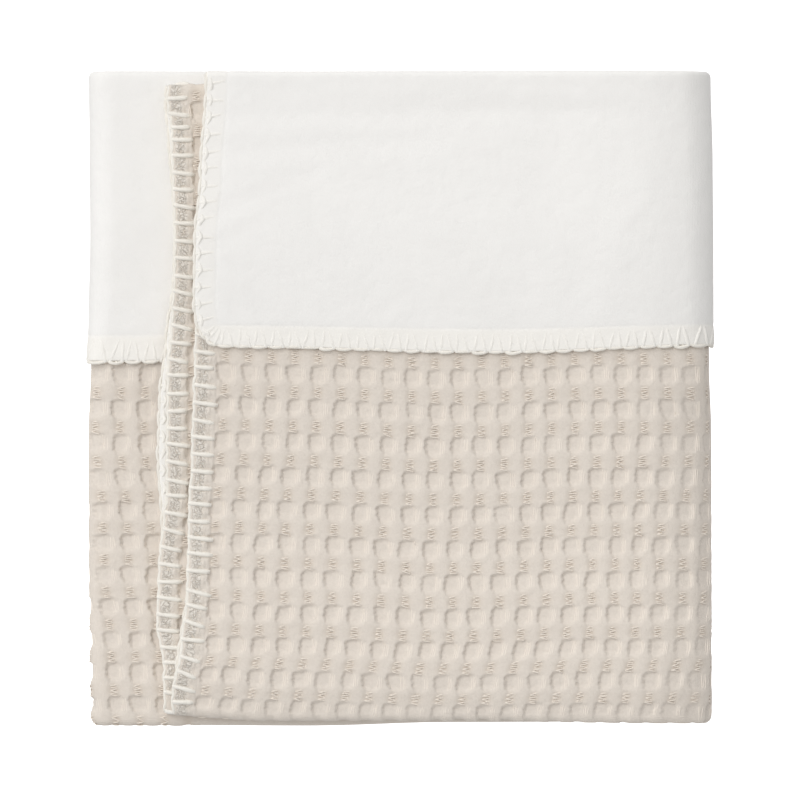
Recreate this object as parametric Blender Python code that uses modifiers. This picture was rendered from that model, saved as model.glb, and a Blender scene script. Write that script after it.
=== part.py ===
"""A waffle weave cotton blanket with a plain lining and a stitched edge, folded flat.

Each piece is cut flat, thickened and then folded by one function, fold(). Lengthwise the blanket
has a cuff turned down at the top, a front layer, a back layer and a short end tucked in between
them. That bundle is folded twice across its width, into an inner, a side, a bottom and a top
panel. Across runs along X, along runs along Y, and the stack rests on Z = 0. Sizes are in
millimetres, and are turned into metres as each point is placed.
"""

import math

import bmesh
import bpy

MM = 0.001

# The blanket as it is cut
WIDTH = 1000.0
LENGTH = 750.0
CORNER_RADIUS = 10.0
HEM_BAND = 10.0
WAFFLE_THICK = 1.1
LINING_THICK = 1.0
CLOTH_GAP = 0.3
ROPE_WIDE = 2.6
ROPE_THICK = 1.9
ROPE_TAPER = 0.55

# A layer is both cloths. Where most layers lie together they are pressed to this height each,
# and they are looser, by these factors, under the cuffs and in the lower part of the stack.
LAYER_CLOTH = WAFFLE_THICK + CLOTH_GAP + LINING_THICK
LAYER = LAYER_CLOTH + CLOTH_GAP
CUFF_LOOSE = 1.055
LOW_LOOSE = 1.165

# Places along the stack. Each lengthwise fold is a half turn round its own centre.
TOP_FOLD = 143.7
FRONT_FOLD = -143.3
BACK_LAYER_FOLD = 143.2
CUFF_HEM_PLACE = 22.0
TOP_CENTRE = TOP_FOLD - LAYER
BACK_CENTRE = BACK_LAYER_FOLD - LAYER
FRONT_CENTRE = FRONT_FOLD + LAYER * LOW_LOOSE
HALF_TURN = math.pi * 0.5 * LAYER
FOLD_CELLS = 4

# Where the stack gets higher over the ends of the cuffs and of the tucks, as shares of their
# height. Every layer has a row of points at each of these places, so that they nest.
RISES = (
    {"along": 68.0, "cuffs": 1.0, "tucks": 1.0},
    {"along": 49.0, "cuffs": 1.0, "tucks": 0.74},
    {"along": 31.0, "cuffs": 1.0, "tucks": 0.28},
    {"along": 12.0, "cuffs": 1.0, "tucks": 0.0},
    {"along": -10.0, "cuffs": 0.84, "tucks": 0.0},
    {"along": -32.0, "cuffs": 0.50, "tucks": 0.0},
    {"along": -54.0, "cuffs": 0.17, "tucks": 0.0},
    {"along": -76.0, "cuffs": 0.0, "tucks": 0.0},
)
CUFF_LEVEL = 49.0
HIGH_PLACE = 104.0
LOW_PLACE = -106.0

# The stack's two sides at places along it, of the plane between the front and back layers
SIDES = (
    {"along": -143.0, "left": -134.1, "right": 133.0},
    {"along": -112.0, "left": -134.7, "right": 133.0},
    {"along": -14.0, "left": -134.9, "right": 132.8},
    {"along": 14.0, "left": -134.0, "right": 131.9},
    {"along": 34.0, "left": -133.0, "right": 131.7},
    {"along": 70.0, "left": -132.3, "right": 131.7},
    {"along": 104.0, "left": -132.5, "right": 131.4},
    {"along": 140.0, "left": -132.9, "right": 130.5},
)
CORNER_SLACK = 0.15
NEST_GAP = 0.9
SIDE_BULGE = 1.6
BULGE_PLACES = (60.0, 132.0)

# Crosswise runs, from the hem of the inner panel to the hem of the top panel
ACROSS = (
    {"run": "inner panel", "long": 222.0, "cells": 3},
    {"run": "inner fold", "long": 13.8, "cells": 5},
    {"run": "side panel", "long": 246.0, "cells": 4},
    {"run": "left fold", "long": 13.8, "cells": 5},
    {"run": "bottom panel", "long": 255.4, "cells": 4},
    {"run": "outer fold", "long": 31.8, "cells": 8},
    {"run": "top panel", "long": 217.2, "cells": 4},
)
# The outer fold is a quarter turn, a rise and a quarter turn: where they end, as shares of it
OUTER_TURN_ENDS = (0.375, 0.625)

# Where the two side hems lie across the stack, at places along each layer, uneven as folded
INNER_HEM = (
    {"layer": "cuff", "along": 22.0, "across": -99.0},
    {"layer": "cuff", "along": 70.0, "across": -97.5},
    {"layer": "cuff", "along": 130.0, "across": -101.0},
    {"layer": "front layer", "along": 135.0, "across": -103.0},
    {"layer": "front layer", "along": 118.0, "across": -101.6},
    {"layer": "front layer", "along": 75.0, "across": -98.7},
    {"layer": "front layer", "along": 52.0, "across": -99.3},
    {"layer": "front layer", "along": 24.0, "across": -103.0},
    {"layer": "front layer", "along": 0.0, "across": -105.7},
    {"layer": "front layer", "along": -28.0, "across": -106.4},
    {"layer": "front layer", "along": -54.0, "across": -104.8},
    {"layer": "front layer", "along": -80.0, "across": -103.6},
    {"layer": "front layer", "along": -138.0, "across": -103.0},
    {"layer": "back layer", "along": -136.0, "across": -103.4},
    {"layer": "back layer", "along": -122.0, "across": -103.5},
    {"layer": "back layer", "along": -98.0, "across": -106.7},
    {"layer": "back layer", "along": -76.0, "across": -105.7},
    {"layer": "back layer", "along": -40.0, "across": -102.3},
    {"layer": "back layer", "along": 8.0, "across": -101.8},
    {"layer": "back layer", "along": 40.0, "across": -99.5},
    {"layer": "back layer", "along": 60.0, "across": -98.4},
    {"layer": "back layer", "along": 118.0, "across": -99.8},
    {"layer": "back layer", "along": 137.0, "across": -101.8},
    {"layer": "tuck", "along": 120.0, "across": -99.0},
    {"layer": "tuck", "along": 90.0, "across": -98.0},
)
TOP_HEM = (
    {"layer": "cuff", "along": 24.0, "across": -88.0},
    {"layer": "cuff", "along": 42.0, "across": -90.2},
    {"layer": "cuff", "along": 70.0, "across": -89.7},
    {"layer": "cuff", "along": 98.0, "across": -87.2},
    {"layer": "cuff", "along": 138.0, "across": -84.7},
    {"layer": "front layer", "along": 135.0, "across": -84.4},
    {"layer": "front layer", "along": 60.0, "across": -87.6},
    {"layer": "front layer", "along": 14.0, "across": -89.7},
    {"layer": "front layer", "along": -25.0, "across": -91.0},
    {"layer": "front layer", "along": -50.0, "across": -92.4},
    {"layer": "front layer", "along": -86.0, "across": -93.2},
    {"layer": "front layer", "along": -110.0, "across": -95.8},
    {"layer": "front layer", "along": -134.0, "across": -99.8},
    {"layer": "back layer", "along": -134.0, "across": -99.0},
    {"layer": "back layer", "along": -60.0, "across": -90.6},
    {"layer": "back layer", "along": 130.0, "across": -85.0},
    {"layer": "tuck", "along": 120.0, "across": -84.0},
    {"layer": "tuck", "along": 90.0, "across": -84.0},
)
# How low the cuff's hem hangs at places across each panel
CUFF_HEM = (
    {"panel": "inner panel", "share": 0.0, "along": 19.0},
    {"panel": "inner panel", "share": 1.0, "along": 18.4},
    {"panel": "side panel", "share": 0.5, "along": 17.4},
    {"panel": "side panel", "share": 1.0, "along": 16.8},
    {"panel": "bottom panel", "share": 0.5, "along": 18.8},
    {"panel": "outer fold", "share": 0.5, "along": 24.0},
    {"panel": "top panel", "share": 0.4, "along": 20.8},
    {"panel": "top panel", "share": 1.0, "along": 23.4},
)
# How far each panel's two lengthwise folds slid along as the panels were folded over
SLIDES = (
    {"panel": "inner panel", "share": 0.0, "top": -5.0, "front": 2.7},
    {"panel": "inner panel", "share": 0.3, "top": -4.4, "front": 1.6},
    {"panel": "inner panel", "share": 1.0, "top": 0.2, "front": -0.4},
    {"panel": "side panel", "share": 0.4, "top": 0.6, "front": -0.8},
    {"panel": "side panel", "share": 0.64, "top": 0.8, "front": -2.4},
    {"panel": "side panel", "share": 1.0, "top": 0.9, "front": -1.9},
    {"panel": "bottom panel", "share": 0.5, "top": -1.0, "front": 1.3},
    {"panel": "outer fold", "share": 0.5, "top": 0.5, "front": -0.9},
    {"panel": "top panel", "share": 0.5, "top": 0.3, "front": 0.3},
    {"panel": "top panel", "share": 0.82, "top": 0.2, "front": 0.5},
    {"panel": "top panel", "share": 1.0, "top": 0.3, "front": 2.4},
)

WAFFLE_COLOUR = (0.73, 0.66, 0.58, 1.0)
LINING_COLOUR = (0.87, 0.86, 0.84, 1.0)
YARN_COLOUR = (0.89, 0.86, 0.80, 1.0)


def lengthwise_runs():
    """The runs along the cloth: a straight one lists its places, and a fold only its length."""
    rises = [row["along"] for row in RISES]
    down = [HIGH_PLACE, *rises, LOW_PLACE]
    cuff = [CUFF_HEM_PLACE, CUFF_HEM_PLACE + HEM_BAND, CUFF_LEVEL, rises[0], HIGH_PLACE]
    runs = [
        {"run": "cuff", "places": [*cuff, TOP_CENTRE]},
        {"run": "top fold", "long": HALF_TURN},
        {"run": "front layer", "places": [TOP_CENTRE, *down, FRONT_CENTRE]},
        {"run": "front fold", "long": HALF_TURN * LOW_LOOSE},
        {"run": "back layer", "places": [FRONT_CENTRE, *reversed(down), BACK_CENTRE]},
        {"run": "back layer fold", "long": HALF_TURN},
    ]
    start = 0.0
    for run in runs:
        if "places" in run:
            run["long"] = abs(run["places"][-1] - run["places"][0])
        run["start"] = start
        start += run["long"]
    tuck_end = BACK_CENTRE - (LENGTH - start)
    places = [BACK_CENTRE, HIGH_PLACE, tuck_end + HEM_BAND, tuck_end]
    runs.append({"run": "tuck", "places": places, "long": LENGTH - start, "start": start})
    return runs


def crosswise_runs():
    """The runs across the cloth, each with its start."""
    runs = []
    start = 0.0
    for row in ACROSS:
        runs.append({**row, "start": start})
        start += row["long"]
    return runs


def ramp(value, ends):
    """0 below the first end, 1 past the second, and a soft slope between."""
    share = min(1.0, max(0.0, (value - ends[0]) / (ends[1] - ends[0])))
    return share * share * (3.0 - 2.0 * share)


def soft_curve(points, position):
    """A soft curve through (position, value) points, level past its ends."""
    if position <= points[0][0]:
        return points[0][1]
    for (a, low), (b, high) in zip(points, points[1:]):
        if position < b:
            return low + (high - low) * ramp(position, (a, b))
    return points[-1][1]


def run_at(position, runs):
    """The run that a position along the flat cloth lies in, and its share of the way through."""
    found = runs[0]
    for run in runs[1:]:
        if position >= run["start"]:
            found = run
    return found, (position - found["start"]) / found["long"]


def named(name, runs):
    return next(run for run in runs if run["run"] == name)


def hem_points(table, runs):
    """A hem table as (position along the flat cloth, place across) points."""
    points = []
    for row in table:
        run = named(row["layer"], runs)
        points.append((run["start"] + abs(row["along"] - run["places"][0]), row["across"]))
    return points


def panel_points(table, column, runs):
    """A panel table's column as (position across the flat cloth, value) points."""
    points = []
    for row in table:
        run = named(row["panel"], runs)
        points.append((run["start"] + row["share"] * run["long"], row[column]))
    return points


LENGTHWISE = lengthwise_runs()
CROSSWISE = crosswise_runs()
INNER_HEM_POINTS = hem_points(INNER_HEM, LENGTHWISE)
TOP_HEM_POINTS = hem_points(TOP_HEM, LENGTHWISE)
CUFF_HEM_POINTS = panel_points(CUFF_HEM, "along", CROSSWISE)
TOP_SLIDES = panel_points(SLIDES, "top", CROSSWISE)
FRONT_SLIDES = panel_points(SLIDES, "front", CROSSWISE)
LEFT_SIDES = [(row["along"], row["left"]) for row in SIDES]
RIGHT_SIDES = [(row["along"], row["right"]) for row in SIDES]


def rise_at(along, column):
    """The cuffs' or the tucks' share of their height at a place along the stack."""
    if along >= RISES[0]["along"]:
        return RISES[0][column]
    for high, low in zip(RISES, RISES[1:]):
        if along >= low["along"]:
            share = (along - low["along"]) / (high["along"] - low["along"])
            return low[column] + (high[column] - low[column]) * share
    return RISES[-1][column]


def looseness(along):
    """How thick the layers are at a place along the stack, where the most pressed ones are 1."""
    loose = LOW_LOOSE + (CUFF_LOOSE - LOW_LOOSE) * rise_at(along, "cuffs")
    return loose + (1.0 - CUFF_LOOSE) * rise_at(along, "tucks")


def panel_heights(along):
    """Heights of the bottom, side, inner and top panels, each between its front and back layer."""
    loose = looseness(along)
    front_thick = LAYER * loose * (1.0 + rise_at(along, "cuffs"))
    back_thick = LAYER * loose * (1.0 + rise_at(along, "tucks"))
    bottom = front_thick - 0.5 * CLOTH_GAP * loose
    side = bottom + 2.0 * back_thick
    inner = side + 2.0 * front_thick
    top = inner + 2.0 * back_thick
    return bottom, side, inner, top


def cuff_place(across, share):
    """A place in the cuff, whose lowest cells stretch to where the hem hangs."""
    place = CUFF_HEM_PLACE + (TOP_CENTRE - CUFF_HEM_PLACE) * share
    if place >= CUFF_LEVEL:
        return place
    hem = soft_curve(CUFF_HEM_POINTS, across)
    stretch = (CUFF_LEVEL - hem) / (CUFF_LEVEL - CUFF_HEM_PLACE)
    return CUFF_LEVEL - (CUFF_LEVEL - place) * stretch


def fold_along(across, along, rise):
    """Folds lengthwise: the place along the stack, and the distance off the bundle's middle."""
    run, share = run_at(along, LENGTHWISE)
    name = run["run"]
    turn = math.pi * share
    if name == "cuff":
        place = cuff_place(across, share)
        return place, (1.5 * LAYER - rise) * looseness(place)
    if name == "top fold":
        reach = 0.5 * LAYER - rise
        return TOP_CENTRE + reach * math.sin(turn), LAYER + reach * math.cos(turn)
    if name == "front fold":
        reach = (0.5 * LAYER + rise) * LOW_LOOSE
        return FRONT_CENTRE - reach * math.sin(turn), reach * math.cos(turn)
    if name == "back layer fold":
        reach = 0.5 * LAYER + rise
        return BACK_CENTRE + reach * math.sin(turn), -LAYER - reach * math.cos(turn)
    start, end = run["places"][0], run["places"][-1]
    place = start + (end - start) * share
    if name == "front layer":
        return place, (0.5 * LAYER + rise) * looseness(place)
    if name == "back layer":
        under = 0.5 + rise_at(place, "tucks")
        return place, -(under * LAYER + rise) * looseness(place)
    return place, (-0.5 * LAYER + rise) * looseness(place)


def fold_across(across, along, place, off):
    """Folds crosswise: the place across the stack and the height, at a distance off the middle."""
    run, share = run_at(across, CROSSWISE)
    name = run["run"]
    bottom, side, inner, top = panel_heights(place)
    inner_radius = 0.5 * (inner - side)
    left_radius = 0.5 * (side - bottom)
    corner = left_radius + CORNER_SLACK * LAYER * looseness(place)
    right_side = soft_curve(RIGHT_SIDES, place)
    inner_centre = right_side - left_radius - NEST_GAP - left_radius - inner_radius
    left_centre = soft_curve(LEFT_SIDES, place) + left_radius
    outer_centre = right_side - corner
    turn = math.pi * share
    if name == "inner panel":
        hem = soft_curve(INNER_HEM_POINTS, along)
        return hem + (inner_centre - hem) * share, inner - off
    if name == "inner fold":
        reach = inner_radius - off
        middle = 0.5 * (inner + side)
        return inner_centre + reach * math.sin(turn), middle + reach * math.cos(turn)
    if name == "side panel":
        return inner_centre + (left_centre - inner_centre) * share, side + off
    if name == "left fold":
        reach = left_radius + off
        middle = 0.5 * (side + bottom)
        return left_centre - reach * math.sin(turn), middle + reach * math.cos(turn)
    if name == "bottom panel":
        return left_centre + (outer_centre - left_centre) * share, bottom - off
    if name == "outer fold":
        return outer_fold(share, outer_centre, corner, off, bottom, top)
    hem = soft_curve(TOP_HEM_POINTS, along)
    return outer_centre + (hem - outer_centre) * share, top + off


def outer_fold(share, centre, corner, off, bottom, top):
    """The outer fold's squarish profile, from the bottom panel up to the top panel."""
    first, last = OUTER_TURN_ENDS
    reach = corner + off
    if share < first:
        turn = 0.5 * math.pi * share / first
        return centre + reach * math.sin(turn), bottom + corner - reach * math.cos(turn)
    if share < last:
        low = bottom + corner
        return centre + reach, low + (top - corner - low) * (share - first) / (last - first)
    turn = 0.5 * math.pi * (share - last) / (1.0 - last)
    return centre + reach * math.cos(turn), top - corner + reach * math.sin(turn)


def rounded(across, along):
    """Rounds the four corners of the flat cloth: each square about a corner becomes an arc."""
    from_left = across < 0.5 * WIDTH
    from_start = along < 0.5 * LENGTH
    a = CORNER_RADIUS - (across if from_left else WIDTH - across)
    b = CORNER_RADIUS - (along if from_start else LENGTH - along)
    if a <= 0.0 or b <= 0.0:
        return across, along
    shrink = max(a, b) / math.hypot(a, b)
    a = CORNER_RADIUS - a * shrink
    b = CORNER_RADIUS - b * shrink
    return (a if from_left else WIDTH - a), (b if from_start else LENGTH - b)


def fold(across, along, rise):
    """A point of the flat cloth, in millimetres, at its place in the folded stack."""
    across, along = rounded(across, along)
    place, off = fold_along(across, along, rise)
    x, z = fold_across(across, along, place, off)
    y = place + soft_curve(TOP_SLIDES, across) * ramp(place, (HIGH_PLACE, TOP_CENTRE))
    y += soft_curve(FRONT_SLIDES, across) * ramp(-place, (-LOW_PLACE, -FRONT_CENTRE))
    middle = 0.5 * (panel_heights(place)[-1] + LAYER)
    belly = 1.0 - ((z - middle) / middle) ** 2
    return x + SIDE_BULGE * belly * ramp(x, BULGE_PLACES), y, z


def run_lines(runs):
    """The flat cloth's grid lines: each run's places or cells, and a band along each rim."""
    total = runs[-1]["start"] + runs[-1]["long"]
    lines = {0.0, HEM_BAND, total - HEM_BAND, total}
    for run in runs:
        if "places" in run:
            lines |= {run["start"] + abs(place - run["places"][0]) for place in run["places"]}
        else:
            cells = run.get("cells", FOLD_CELLS)
            lines |= {run["start"] + run["long"] * cell / cells for cell in range(cells + 1)}
    spaced = []
    for line in sorted(lines):
        if not spaced or line - spaced[-1] > 0.01:
            spaced.append(line)
    return spaced


def rope_lines(lines):
    """The grid lines with their two rims moved out to the inside, ridge and outside of a rope."""
    total = lines[-1]
    outside = (-CLOTH_GAP - ROPE_WIDE, -CLOTH_GAP - 0.5 * ROPE_WIDE, -CLOTH_GAP)
    return [*outside, *lines[1:-1], *(total - place for place in reversed(outside))]


def flat_piece(name, across_lines, along_lines, thickness, rings):
    """A thick flat piece in grid units. With rings, only that many outer rings of cells stay."""
    cells = (len(across_lines) - 1, len(along_lines) - 1)
    mesh = bpy.data.meshes.new(name)
    shape = bmesh.new()
    bmesh.ops.create_grid(shape, x_segments=cells[0], y_segments=cells[1], size=0.5)
    for vert in shape.verts:
        vert.co.x = round((vert.co.x + 0.5) * cells[0])
        vert.co.y = round((vert.co.y + 0.5) * cells[1])
    inner = []
    for face in shape.faces:
        middle = face.calc_center_median()
        depth = min(middle.x, middle.y, cells[0] - middle.x, cells[1] - middle.y)
        if rings and depth > rings:
            inner.append(face)
    bmesh.ops.delete(shape, geom=inner, context="FACES")
    shape.to_mesh(mesh)
    shape.free()
    piece = bpy.data.objects.new(name, mesh)
    bpy.context.scene.collection.objects.link(piece)
    thicken = piece.modifiers.new("thickness", "SOLIDIFY")
    thicken.thickness = thickness
    thicken.offset = 0.0
    graph = bpy.context.evaluated_depsgraph_get()
    thick = bpy.data.meshes.new_from_object(piece.evaluated_get(graph))
    piece.modifiers.clear()
    piece.data = thick
    bpy.data.meshes.remove(mesh)
    thick.name = name
    bpy.context.scene.collection.objects.unlink(piece)
    return piece


def fold_piece(piece, across_lines, along_lines, middle, taper):
    """Folds a thick flat piece, with its middle this far above the layer's, and its rim tapered."""
    last = (len(across_lines) - 1, len(along_lines) - 1)
    for vert in piece.data.vertices:
        i, j = round(vert.co.x), round(vert.co.y)
        at_rim = i in (0, last[0]) or j in (0, last[1])
        rise = middle + vert.co.z * (taper if at_rim else 1.0)
        vert.co = [MM * size for size in fold(across_lines[i], along_lines[j], rise)]
    piece.data.update()


def cloth_material(name, colour, roughness):
    material = bpy.data.materials.new(name)
    material.use_nodes = True
    shader = material.node_tree.nodes["Principled BSDF"]
    shader.inputs["Base Color"].default_value = colour
    shader.inputs["Roughness"].default_value = roughness
    shader.inputs["Metallic"].default_value = 0.0
    return material


def waffle_cloth():
    """The waffle weave cotton: the outside of each layer."""
    across_lines, along_lines = run_lines(CROSSWISE), run_lines(LENGTHWISE)
    piece = flat_piece("waffle_cloth", across_lines, along_lines, WAFFLE_THICK, 0)
    fold_piece(piece, across_lines, along_lines, 0.5 * (LAYER_CLOTH - WAFFLE_THICK), 1.0)
    piece.data.materials.append(cloth_material("waffle cotton", WAFFLE_COLOUR, 0.95))
    return piece


def lining_cloth():
    """The plain cotton lining: the inside of each layer, which shows where the cuff turns down."""
    across_lines, along_lines = run_lines(CROSSWISE), run_lines(LENGTHWISE)
    piece = flat_piece("lining_cloth", across_lines, along_lines, LINING_THICK, 0)
    fold_piece(piece, across_lines, along_lines, 0.5 * (LINING_THICK - LAYER_CLOTH), 1.0)
    piece.data.materials.append(cloth_material("lining cotton", LINING_COLOUR, 0.9))
    return piece


def edging_yarn():
    """The rope of edging stitches that runs all round the two cloths, just outside their rims."""
    across_lines = rope_lines(run_lines(CROSSWISE))
    along_lines = rope_lines(run_lines(LENGTHWISE))
    piece = flat_piece("edging_yarn", across_lines, along_lines, ROPE_THICK, 2)
    fold_piece(piece, across_lines, along_lines, 0.0, ROPE_TAPER)
    piece.data.materials.append(cloth_material("edging yarn", YARN_COLOUR, 0.85))
    return piece


def centre(pieces):
    """Puts the origin under the middle of the stack's box, on the plane that it rests on."""
    points = [vert.co for piece in pieces for vert in piece.data.vertices]
    middle_x = 0.5 * (min(co.x for co in points) + max(co.x for co in points))
    middle_y = 0.5 * (min(co.y for co in points) + max(co.y for co in points))
    for co in points:
        co.x -= middle_x
        co.y -= middle_y


def main():
    for thing in list(bpy.data.objects):
        bpy.data.objects.remove(thing, do_unlink=True)
    blanket = bpy.data.collections.new("waffle_blanket")
    bpy.context.scene.collection.children.link(blanket)
    pieces = [waffle_cloth(), lining_cloth(), edging_yarn()]
    centre(pieces)
    for piece in pieces:
        piece.data.shade_smooth()
        piece.data.set_sharp_from_angle(angle=math.radians(50.0))
        blanket.objects.link(piece)


if __name__ == "__main__":
    main()
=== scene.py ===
"""A folded waffle weave cotton blanket: its woven face, its plain lining, its stitched edge and a stage.

Each piece is laid out flat, with X across the cloth and Y along it, and then folded by fold(), which
follows the solids' own folds: a cuff, a front layer, a back layer and a tucked end lengthwise, and
four panels crosswise. Sizes are in millimetres unless a name or a property's unit says otherwise.
"""

import math

import bpy
import numpy as np
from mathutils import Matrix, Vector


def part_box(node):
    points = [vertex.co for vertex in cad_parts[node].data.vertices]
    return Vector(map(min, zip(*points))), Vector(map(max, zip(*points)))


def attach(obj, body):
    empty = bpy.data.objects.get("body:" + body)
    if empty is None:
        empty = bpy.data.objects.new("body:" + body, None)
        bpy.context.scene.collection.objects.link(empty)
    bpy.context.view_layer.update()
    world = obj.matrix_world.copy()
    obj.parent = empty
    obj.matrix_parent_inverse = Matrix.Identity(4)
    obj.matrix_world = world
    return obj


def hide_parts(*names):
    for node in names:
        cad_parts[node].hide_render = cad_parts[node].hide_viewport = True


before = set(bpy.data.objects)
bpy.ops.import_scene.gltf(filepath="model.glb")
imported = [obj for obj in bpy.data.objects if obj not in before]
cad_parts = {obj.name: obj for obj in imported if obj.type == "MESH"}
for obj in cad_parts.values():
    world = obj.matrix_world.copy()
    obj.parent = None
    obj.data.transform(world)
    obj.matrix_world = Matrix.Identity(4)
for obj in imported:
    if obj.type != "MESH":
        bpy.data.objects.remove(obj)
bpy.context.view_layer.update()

bl_info = {
    "name": "Folded Waffle Blanket",
    "version": (1, 0, 0),
    "blender": (4, 5, 0),
    "location": "View3D > Sidebar > Blanket",
    "description": "Weaves, lines, stitches and folds a waffle weave cotton blanket",
    "category": "Object",
}

MM = 0.001
BODY = "root"

# The blanket as it is cut
WIDTH = 1000.0
LENGTH = 750.0
CORNER_RADIUS = 10.0
WAFFLE_THICK = 1.1
LINING_THICK = 1.0
CLOTH_GAP = 0.3

# A layer is both cloths, pressed to this height where most layers lie together
LAYER_CLOTH = WAFFLE_THICK + CLOTH_GAP + LINING_THICK
LAYER = LAYER_CLOTH + CLOTH_GAP
CUFF_LOOSE = 1.055
LOW_LOOSE = 1.165
CUFF_SLOPE = (-76.0, 12.0)
TUCK_SLOPE = (-20.0, 82.0)

# Places along the stack
TOP_CENTRE = 143.7 - LAYER
BACK_CENTRE = 143.2 - LAYER
FRONT_CENTRE = -143.3 + LAYER * LOW_LOOSE
CUFF_HEM_PLACE = 22.0
CUFF_LEVEL = 49.0
HIGH_PLACE = 104.0
LOW_PLACE = -106.0
HALF_TURN = math.pi * 0.5 * LAYER

# The stack's left and right sides at places along it: (along, left, right)
SIDES = (
    (-143.0, -134.1, 133.0),
    (-112.0, -134.7, 133.0),
    (-14.0, -134.9, 132.8),
    (14.0, -134.0, 131.9),
    (34.0, -133.0, 131.7),
    (70.0, -132.3, 131.7),
    (104.0, -132.5, 131.4),
    (140.0, -132.9, 130.5),
)
CORNER_SLACK = 0.15
NEST_GAP = 0.9
SIDE_BULGE = 1.6
BULGE_PLACES = (60.0, 132.0)

# The runs across the cloth, and how long each is
ACROSS = (
    ("inner panel", 222.0),
    ("inner fold", 13.8),
    ("side panel", 246.0),
    ("left fold", 13.8),
    ("bottom panel", 255.4),
    ("outer fold", 31.8),
    ("top panel", 217.2),
)
OUTER_TURN_ENDS = (0.375, 0.625)

# Where the two side hems lie across the stack: (along, across) places in each layer
INNER_HEM = {
    "cuff": ((22.0, -99.0), (70.0, -97.5), (130.0, -101.0)),
    "front layer": (
        (135.0, -103.0), (118.0, -101.6), (75.0, -98.7), (52.0, -99.3), (24.0, -103.0),
        (0.0, -105.7), (-28.0, -106.4), (-54.0, -104.8), (-80.0, -103.6), (-138.0, -103.0),
    ),
    "back layer": (
        (-136.0, -103.4), (-122.0, -103.5), (-98.0, -106.7), (-76.0, -105.7), (-40.0, -102.3),
        (8.0, -101.8), (40.0, -99.5), (60.0, -98.4), (118.0, -99.8), (137.0, -101.8),
    ),
    "tuck": ((120.0, -99.0), (90.0, -98.0)),
}
TOP_HEM = {
    "cuff": ((24.0, -88.0), (42.0, -90.2), (70.0, -89.7), (98.0, -87.2), (138.0, -84.7)),
    "front layer": (
        (135.0, -84.4), (60.0, -87.6), (14.0, -89.7), (-25.0, -91.0),
        (-50.0, -92.4), (-86.0, -93.2), (-110.0, -95.8), (-134.0, -99.8),
    ),
    "back layer": ((-134.0, -99.0), (-60.0, -90.6), (130.0, -85.0)),
    "tuck": ((120.0, -84.0), (90.0, -84.0)),
}
# How low the cuff's hem hangs: (share of the panel's width, along)
CUFF_HEM = {
    "inner panel": ((0.0, 19.0), (1.0, 18.4)),
    "side panel": ((0.5, 17.4), (1.0, 16.8)),
    "bottom panel": ((0.5, 18.8),),
    "outer fold": ((0.5, 24.0),),
    "top panel": ((0.4, 20.8), (1.0, 23.4)),
}
# How far the top fold and the front fold slid along as the panels were folded over: (share of the
# panel's width, slide)
TOP_SLIDES = {
    "inner panel": ((0.0, -5.0), (0.3, -4.4), (1.0, 0.2)),
    "side panel": ((0.4, 0.6), (0.64, 0.8), (1.0, 0.9)),
    "bottom panel": ((0.5, -1.0),),
    "outer fold": ((0.5, 0.5),),
    "top panel": ((0.5, 0.3), (0.82, 0.2), (1.0, 0.3)),
}
FRONT_SLIDES = {
    "inner panel": ((0.0, 2.7), (0.3, 1.6), (1.0, -0.4)),
    "side panel": ((0.4, -0.8), (0.64, -2.4), (1.0, -1.9)),
    "bottom panel": ((0.5, 1.3),),
    "outer fold": ((0.5, -0.9),),
    "top panel": ((0.5, 0.3), (0.82, 0.5), (1.0, 2.4)),
}

# How far the weave's columns lean left over the top panel, at places along it
COLUMN_LEAN = ((-143.0, 11.2), (-125.0, 8.9), (-107.0, 5.1), (-89.0, 3.8), (-36.0, 2.0), (20.0, 0.7))
# How much further left they bow beside the hem, and how that fades at places across the panel
HEM_BOW = ((-125.0, 0.7), (-94.0, 2.4), (-54.0, 2.9), (-14.0, 0.9), (12.0, 0.3))
BOW_FADE = ((-55.0, 1.0), (20.0, 0.1), (60.0, 0.0), (88.0, 0.3), (112.0, 0.7))
# How far the weave's rows sag over the top panel, at places across it
ROW_SAG = ((-80.0, 0.5), (-50.0, 1.5), (20.0, 3.8), (92.0, 2.0), (130.0, 1.9))
# The same two for the side panel, at places along it
SIDE_LEAN = ((-140.0, -4.6), (-114.0, -3.2), (-74.0, -0.4), (-54.0, 0.2), (-14.0, 3.0), (12.0, 3.1))
SIDE_SAG = ((-130.0, -2.6), (-98.0, -1.3), (-78.0, 0.0), (-39.0, 2.4), (0.0, 1.8))
# How far the rows are drawn up from the front fold over both panels, at places along them
FRONT_GATHER = ((-141.0, 3.2), (-124.0, 1.2), (-100.0, 0.5))
# How far the inner panel's columns lie off the even ones, towards its inner fold
STRIP_LEAN = ((60.0, -6.5), (95.0, -5.6), (118.0, -5.1), (132.0, -3.9))
# Where the weave's first cell starts, in cells, so that the cells meet the hems as they should
CELL_START = (-0.036, 0.755)
# From where to where the leans and sags set in, past the start of the front layer, and fade, past
# the start of the back layer
LEAN_STARTS = (60.0, 120.0)
LEAN_ENDS = (20.0, 120.0)


def with_starts(runs):
    """Gives each run its start along the flat cloth."""
    start = 0.0
    for run in runs:
        run["start"] = start
        start += run["long"]
    return runs


def lengthwise_runs():
    """The runs along the cloth, each with its places along the stack."""
    straight = (
        ("cuff", CUFF_HEM_PLACE, TOP_CENTRE, HALF_TURN, "top fold"),
        ("front layer", TOP_CENTRE, FRONT_CENTRE, HALF_TURN * LOW_LOOSE, "front fold"),
        ("back layer", FRONT_CENTRE, BACK_CENTRE, HALF_TURN, "back layer fold"),
    )
    runs = []
    for name, first, last, turn, fold_name in straight:
        runs.append({"run": name, "long": abs(last - first), "places": (first, last)})
        runs.append({"run": fold_name, "long": turn, "places": (last, last)})
    left = LENGTH - sum(run["long"] for run in runs)
    runs.append({"run": "tuck", "long": left, "places": (BACK_CENTRE, BACK_CENTRE - left)})
    return with_starts(runs)


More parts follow.
